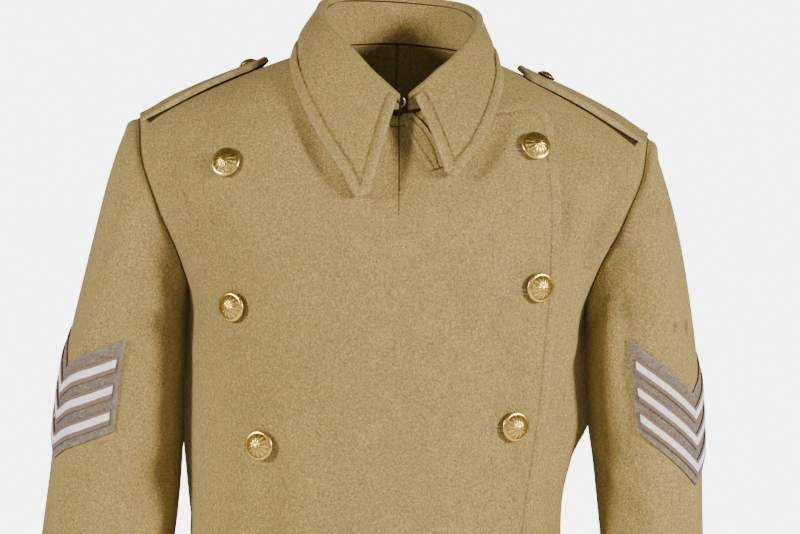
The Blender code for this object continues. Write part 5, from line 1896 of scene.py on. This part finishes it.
def button_mesh(foot, axis, radius, twist, low):
    """Points, faces and relief of a shank button that stands on a foot point, its shank made lower."""
    axis = axis / np.linalg.norm(axis)
    flat = unit(np.cross(axis, (0.0, 0.0, 1.0) if abs(axis[2]) < 0.9 else (1.0, 0.0, 0.0)))
    other = np.cross(axis, flat)
    turn = full_turn(BUTTON_TURNS)
    wheel = flat[None] * np.cos(turn + twist)[:, None] + other[None] * np.sin(turn + twist)[:, None]
    points = []
    relief = []
    for row in FACE_ROWS:
        petal = np.abs(np.cos(PETALS / 2 * turn + PETAL_LEAN * row["out"])) ** 0.8
        beaded = BEAD_RING[0] < row["out"] < BEAD_RING[1]
        bead = BEAD_HEIGHT * beaded * np.maximum(np.cos(BEADS * turn), 0.0)
        rise = row["up"] + PETAL_HEIGHT * (petal - 0.5) * row["relief"] + bead
        rise = (rise - low) * radius + BUTTON_GAP
        points.append(foot + axis * rise[:, None] + wheel * row["out"] * radius)
        relief.append(petal * row["relief"] if row["relief"] > 0 else np.full(BUTTON_TURNS, PLAIN_SHINE))
    points.append((foot + axis * ((BUTTON_TIP - low) * radius + BUTTON_GAP))[None])
    relief.append(np.array([1.0]))
    back_start = sum(len(p) for p in points)
    for row in BACK_ROWS:
        rise = max(row["up"] - low, 0.0) * radius + BUTTON_GAP
        points.append(foot + axis * rise + wheel * row["out"] * radius)
        relief.append(np.full(BUTTON_TURNS, BACK_SHINE))
    faces = []
    n = BUTTON_TURNS

    def band(first, second):
        for k in range(n):
            m = (k + 1) % n
            faces.append((first + k, second + k, second + m, first + m))

    for ring in range(len(FACE_ROWS) - 1):
        band(ring * n, (ring + 1) * n)
    last = (len(FACE_ROWS) - 1) * n
    tip = len(FACE_ROWS) * n
    for k in range(n):
        faces.append((last + k, tip, last + (k + 1) % n))
    band(0, back_start)
    for ring in range(len(BACK_ROWS) - 1):
        band(back_start + ring * n, back_start + (ring + 1) * n)
    end = back_start + (len(BACK_ROWS) - 1) * n
    faces.append(tuple(end + k for k in range(n)))
    return np.vstack(points), faces, np.concatenate(relief)


def make_button(name, node, foot, axis, radius, twist, low=0.0):
    points, faces, relief = button_mesh(foot, axis, radius, twist, low)
    piece = make_piece(name, points, faces, brass, (node,), 60.0)
    store(piece, "relief", relief)
    return piece


def front_line(x, z, lift=0.0):
    """Places on the outside of the right front, moved out by a lift, and the way out there."""
    theta, level = place_at(x, z)
    out = lap_lift(-1, theta, level) + lift
    return body_skin(theta, level, out), body_normal(theta, level)


def make_buttons():
    for number, row in enumerate(BUTTON_ROWS, start=1):
        for line, twist in BUTTON_TWISTS.items():
            foot, axis = front_line(row[f"{line}_x"], row[f"{line}_z"])
            name = f"button_gilt_{line}_{number}"
            make_button(name, f"button_{line}_{number}", foot, axis, BUTTON_RADIUS, twist * number)
    for side, side_name in ((1, "left"), (-1, "right")):
        place = STRAP_PLACES[side_name]
        x = np.asarray(place["tip_x"] + place["button_back"], float)
        across = np.asarray(place["across"])
        rise = strap_rise(x, place) + strap_wall(x)
        foot = strap_point(side, x, across, rise, place["forward"])
        axis = strap_point(side, x, across, rise + 1.0, place["forward"]) - foot
        name = f"button_gilt_strap_{side_name}"
        node = f"button_strap_{side_name}"
        make_button(name, node, foot, axis, STRAP_BUTTON_RADIUS, STRAP_BUTTON_TWIST, STRAP_BUTTON_LOW)


make_buttons()
print("buttons:", 2 * len(BUTTON_ROWS) + 2)

# %% [markdown]
# Thread is the smallest thing that shows. A row of stitches is many short rounded rods that lie along a
# line on the cloth, in one mesh. A buttonhole is a slit whose edges are whipped with a slightly paler
# thread than the one along the edge.

# %% Thread and its stitches


def make_thread(name, colour, pale):
    material, tree, where = new_material(name)
    ply = add_noise(tree, where, 2400.0, 2.0)
    relief = add_bump(tree, ply, 0.0003, 0.4)
    colour = add_mix(tree, ply, colour, pale)
    set_shader(tree, {"Base Color": colour, "Normal": relief, "Roughness": 0.75, "Sheen Weight": 0.2})
    return material


khaki_thread = make_thread("khaki_thread", (0.24, 0.18, 0.075), (0.42, 0.34, 0.18))
pale_thread = make_thread("pale_thread", (0.27, 0.2, 0.075), (0.46, 0.36, 0.15))


# Rings of one stitch: where along it, and its size and rise in parts of the thread's thickness
ROD_ROWS = table(
    ("along", "size", "rise"),
    (0.0, 0.35, 0.0),
    (0.18, 0.9, 0.5),
    (0.5, 1.0, 0.7),
    (0.82, 0.9, 0.5),
    (1.0, 0.35, 0.0),
)
ROD_TURNS = 6
ROD_FLAT = 0.8


def rods(starts, ends, ups, thick):
    """Points and faces of rods with tapered ends, one for each start and end."""
    along = unit(ends - starts)
    side = unit(np.cross(along, ups))
    lift = np.cross(side, along)
    points = []
    for row in ROD_ROWS:
        centre = starts + (ends - starts) * row["along"] + lift * (thick * row["rise"])
        for turn in full_turn(ROD_TURNS):
            way = side * math.cos(turn) + lift * math.sin(turn) * ROD_FLAT
            points.append(centre + way * thick * row["size"])
    points = np.stack(points, axis=1)
    faces = []
    last = (len(ROD_ROWS) - 1) * ROD_TURNS
    for number in range(len(points)):
        start = number * len(ROD_ROWS) * ROD_TURNS
        for ring in range(start, start + last, ROD_TURNS):
            faces += ring_faces(ring, ring + ROD_TURNS, ROD_TURNS)
        faces.append(tuple(start + k for k in reversed(range(ROD_TURNS))))
        faces.append(tuple(start + last + k for k in range(ROD_TURNS)))
    return points.reshape(-1, 3), faces


def stitch_row(line, normals, pitch, length, rise):
    """Starts, ends and ways up of the stitches of one row along a line."""
    steps = np.concatenate([[0.0], np.cumsum(np.linalg.norm(np.diff(line, axis=0), axis=1))])
    starts = np.arange(pitch * 0.3, steps[-1] - length, pitch)

    def at(distance, values):
        return np.stack([np.interp(distance, steps, values[:, axis]) for axis in range(3)], axis=-1)

    ups = unit(at(starts, normals))
    return at(starts, line) + ups * rise, at(starts + length, line) + ups * rise, ups


def sew(name, rows, material, thick):
    points = []
    faces = []
    shift = 0
    for starts, ends, ups in rows:
        more, quads = rods(starts, ends, ups, thick)
        points.append(more)
        faces += [tuple(i + shift for i in q) for q in quads]
        shift += len(more)
    return make_piece(name, np.vstack(points), faces, material)


print("thread materials:", khaki_thread.name, pale_thread.name)

# %% Stitching along the free edge
THREAD = 0.32
STITCH_PITCH = 3.9
STITCH_LENGTH = 2.9
STITCH_RISE = 0.1
# The row stops short of the hem, and its top end runs in to this x
STITCH_HEM_GAP = 4.0
STITCH_TOP_X = 96.0
# How far in from the edge the row lies, seen from the front, in parts of EDGE_STITCH
STITCH_IN = 1.12


def edge_stitching():
    down_z = np.linspace(EDGE_ROWS[0]["z"] - EDGE_STITCH, HEM_Z + STITCH_HEM_GAP, 700)
    down_x = read(EDGE_ROWS, "z", "over", down_z) - EDGE_STITCH * STITCH_IN
    top_x = np.linspace(down_x[0], STITCH_TOP_X, 60)
    top_z = read(TOP_ROWS, "part", "z", top_x / EDGE_ROWS[0]["over"]) - EDGE_STITCH
    rows = []
    for x, z in ((down_x, down_z), (top_x, top_z)):
        line, normals = front_line(x, z, -EDGE_GROOVE)
        rows.append(stitch_row(line, normals, STITCH_PITCH, STITCH_LENGTH, STITCH_RISE))
    return rows


sew("edge_stitches", edge_stitching(), khaki_thread, THREAD)

# %% Buttonholes
# Each hole starts under its button's inner rim and runs toward the middle of the coat
HOLE_ROWS = table(
    ("from_x", "to_x", "z"),
    (97.5, 116.0, -92.5),
    (102.5, 122.0, -210.5),
    (89.5, 106.0, -327.5),
    (82.5, 100.0, -445.5),
    (79.5, 97.0, -563.5),
)
HOLE_HALF = 1.0
HOLE_STITCH = 1.9
HOLE_PITCH = 0.85
HOLE_LIFT = 0.25
HOLE_THREAD = 0.36


def buttonhole(row):
    """Stitches that whip the two long sides and the round end of one hole."""
    x = np.arange(row["from_x"], row["to_x"], HOLE_PITCH)
    reach = HOLE_HALF + HOLE_STITCH * 0.8
    rows = []
    for way in (1.0, -1.0):
        start, normals = front_line(x, row["z"] + way * HOLE_HALF * 0.5 + 0.0 * x, HOLE_LIFT)
        end, _ = front_line(x, row["z"] + way * reach + 0.0 * x, HOLE_LIFT)
        rows.append((start, end, normals))
    turn = np.linspace(math.pi / 2, 3 * math.pi / 2, 8)
    near_x = row["from_x"] + np.cos(turn) * HOLE_HALF * 0.6
    far_x = row["from_x"] + np.cos(turn) * (HOLE_HALF + HOLE_STITCH)
    start, normals = front_line(near_x, row["z"] + np.sin(turn) * HOLE_HALF * 0.6, HOLE_LIFT)
    end, _ = front_line(far_x, row["z"] + np.sin(turn) * reach, HOLE_LIFT)
    rows.append((start, end, normals))
    return rows


def make_holes():
    rows = [side for row in HOLE_ROWS for side in buttonhole(row)]
    return sew("buttonhole_thread", rows, pale_thread, HOLE_THREAD)


make_holes()
print("buttonholes:", len(HOLE_ROWS))

# %% [markdown]
# A wire hook closes the throat. It is steel that has gone dull.

# %% Throat hook
# Wire of the throat hook, from its foot on the end of the collar stand
HOOK_ROWS = table(
    ("x", "y", "z"),
    (5.2, -96.0, -57.0),
    (6.9, -97.2, -56.6),
    (8.4, -98.6, -55.4),
    (9.0, -99.8, -53.4),
    (8.6, -100.8, -51.4),
    (7.4, -101.3, -50.2),
)
HOOK_WIRE = 0.75
HOOK_POINTS = 26
HOOK_TURNS = 12


def make_hook():
    material, tree, where = new_material("dull_steel")
    cloud = add_noise(tree, where, 900.0, 3.0)
    colour = add_mix(tree, cloud, (0.2, 0.18, 0.16), (0.5, 0.47, 0.42))
    relief = add_bump(tree, cloud, 0.0002, 0.3)
    set_shader(tree, {"Base Color": colour, "Normal": relief, "Roughness": 0.42, "Metallic": 1.0})
    at = np.linspace(0.0, len(HOOK_ROWS) - 1, HOOK_POINTS)
    path = np.stack([along_rows(HOOK_ROWS, axis, at) for axis in ("x", "y", "z")], axis=-1)
    along = unit(np.gradient(path, axis=0))
    side = unit(np.cross(along, np.array([0.35, 0.25, 1.0])))
    up = np.cross(along, side)
    turn = full_turn(HOOK_TURNS)[:, None]
    rings = [p + HOOK_WIRE * (np.cos(turn) * s + np.sin(turn) * u) for p, s, u in zip(path, side, up)]
    points = np.concatenate(rings)
    faces = [tuple(range(HOOK_TURNS)), tuple(len(points) - 1 - k for k in range(HOOK_TURNS))]
    for ring in range(len(path) - 1):
        faces += ring_faces(ring * HOOK_TURNS, (ring + 1) * HOOK_TURNS, HOOK_TURNS)
    return make_piece("throat_hook_wire", points, faces, material, ("throat_hook",))


make_hook()
print("hook made")

# %% [markdown]
# Last, the box of the solids and the width, length and area of each cut piece are printed.

# %% Print the box and the cuts, and finish
print("box of the solids:", [round(v, 4) for v in cad_box[0]], [round(v, 4) for v in cad_box[1]])
print("cuts, width and length in metres and area in square metres:", CUTS)
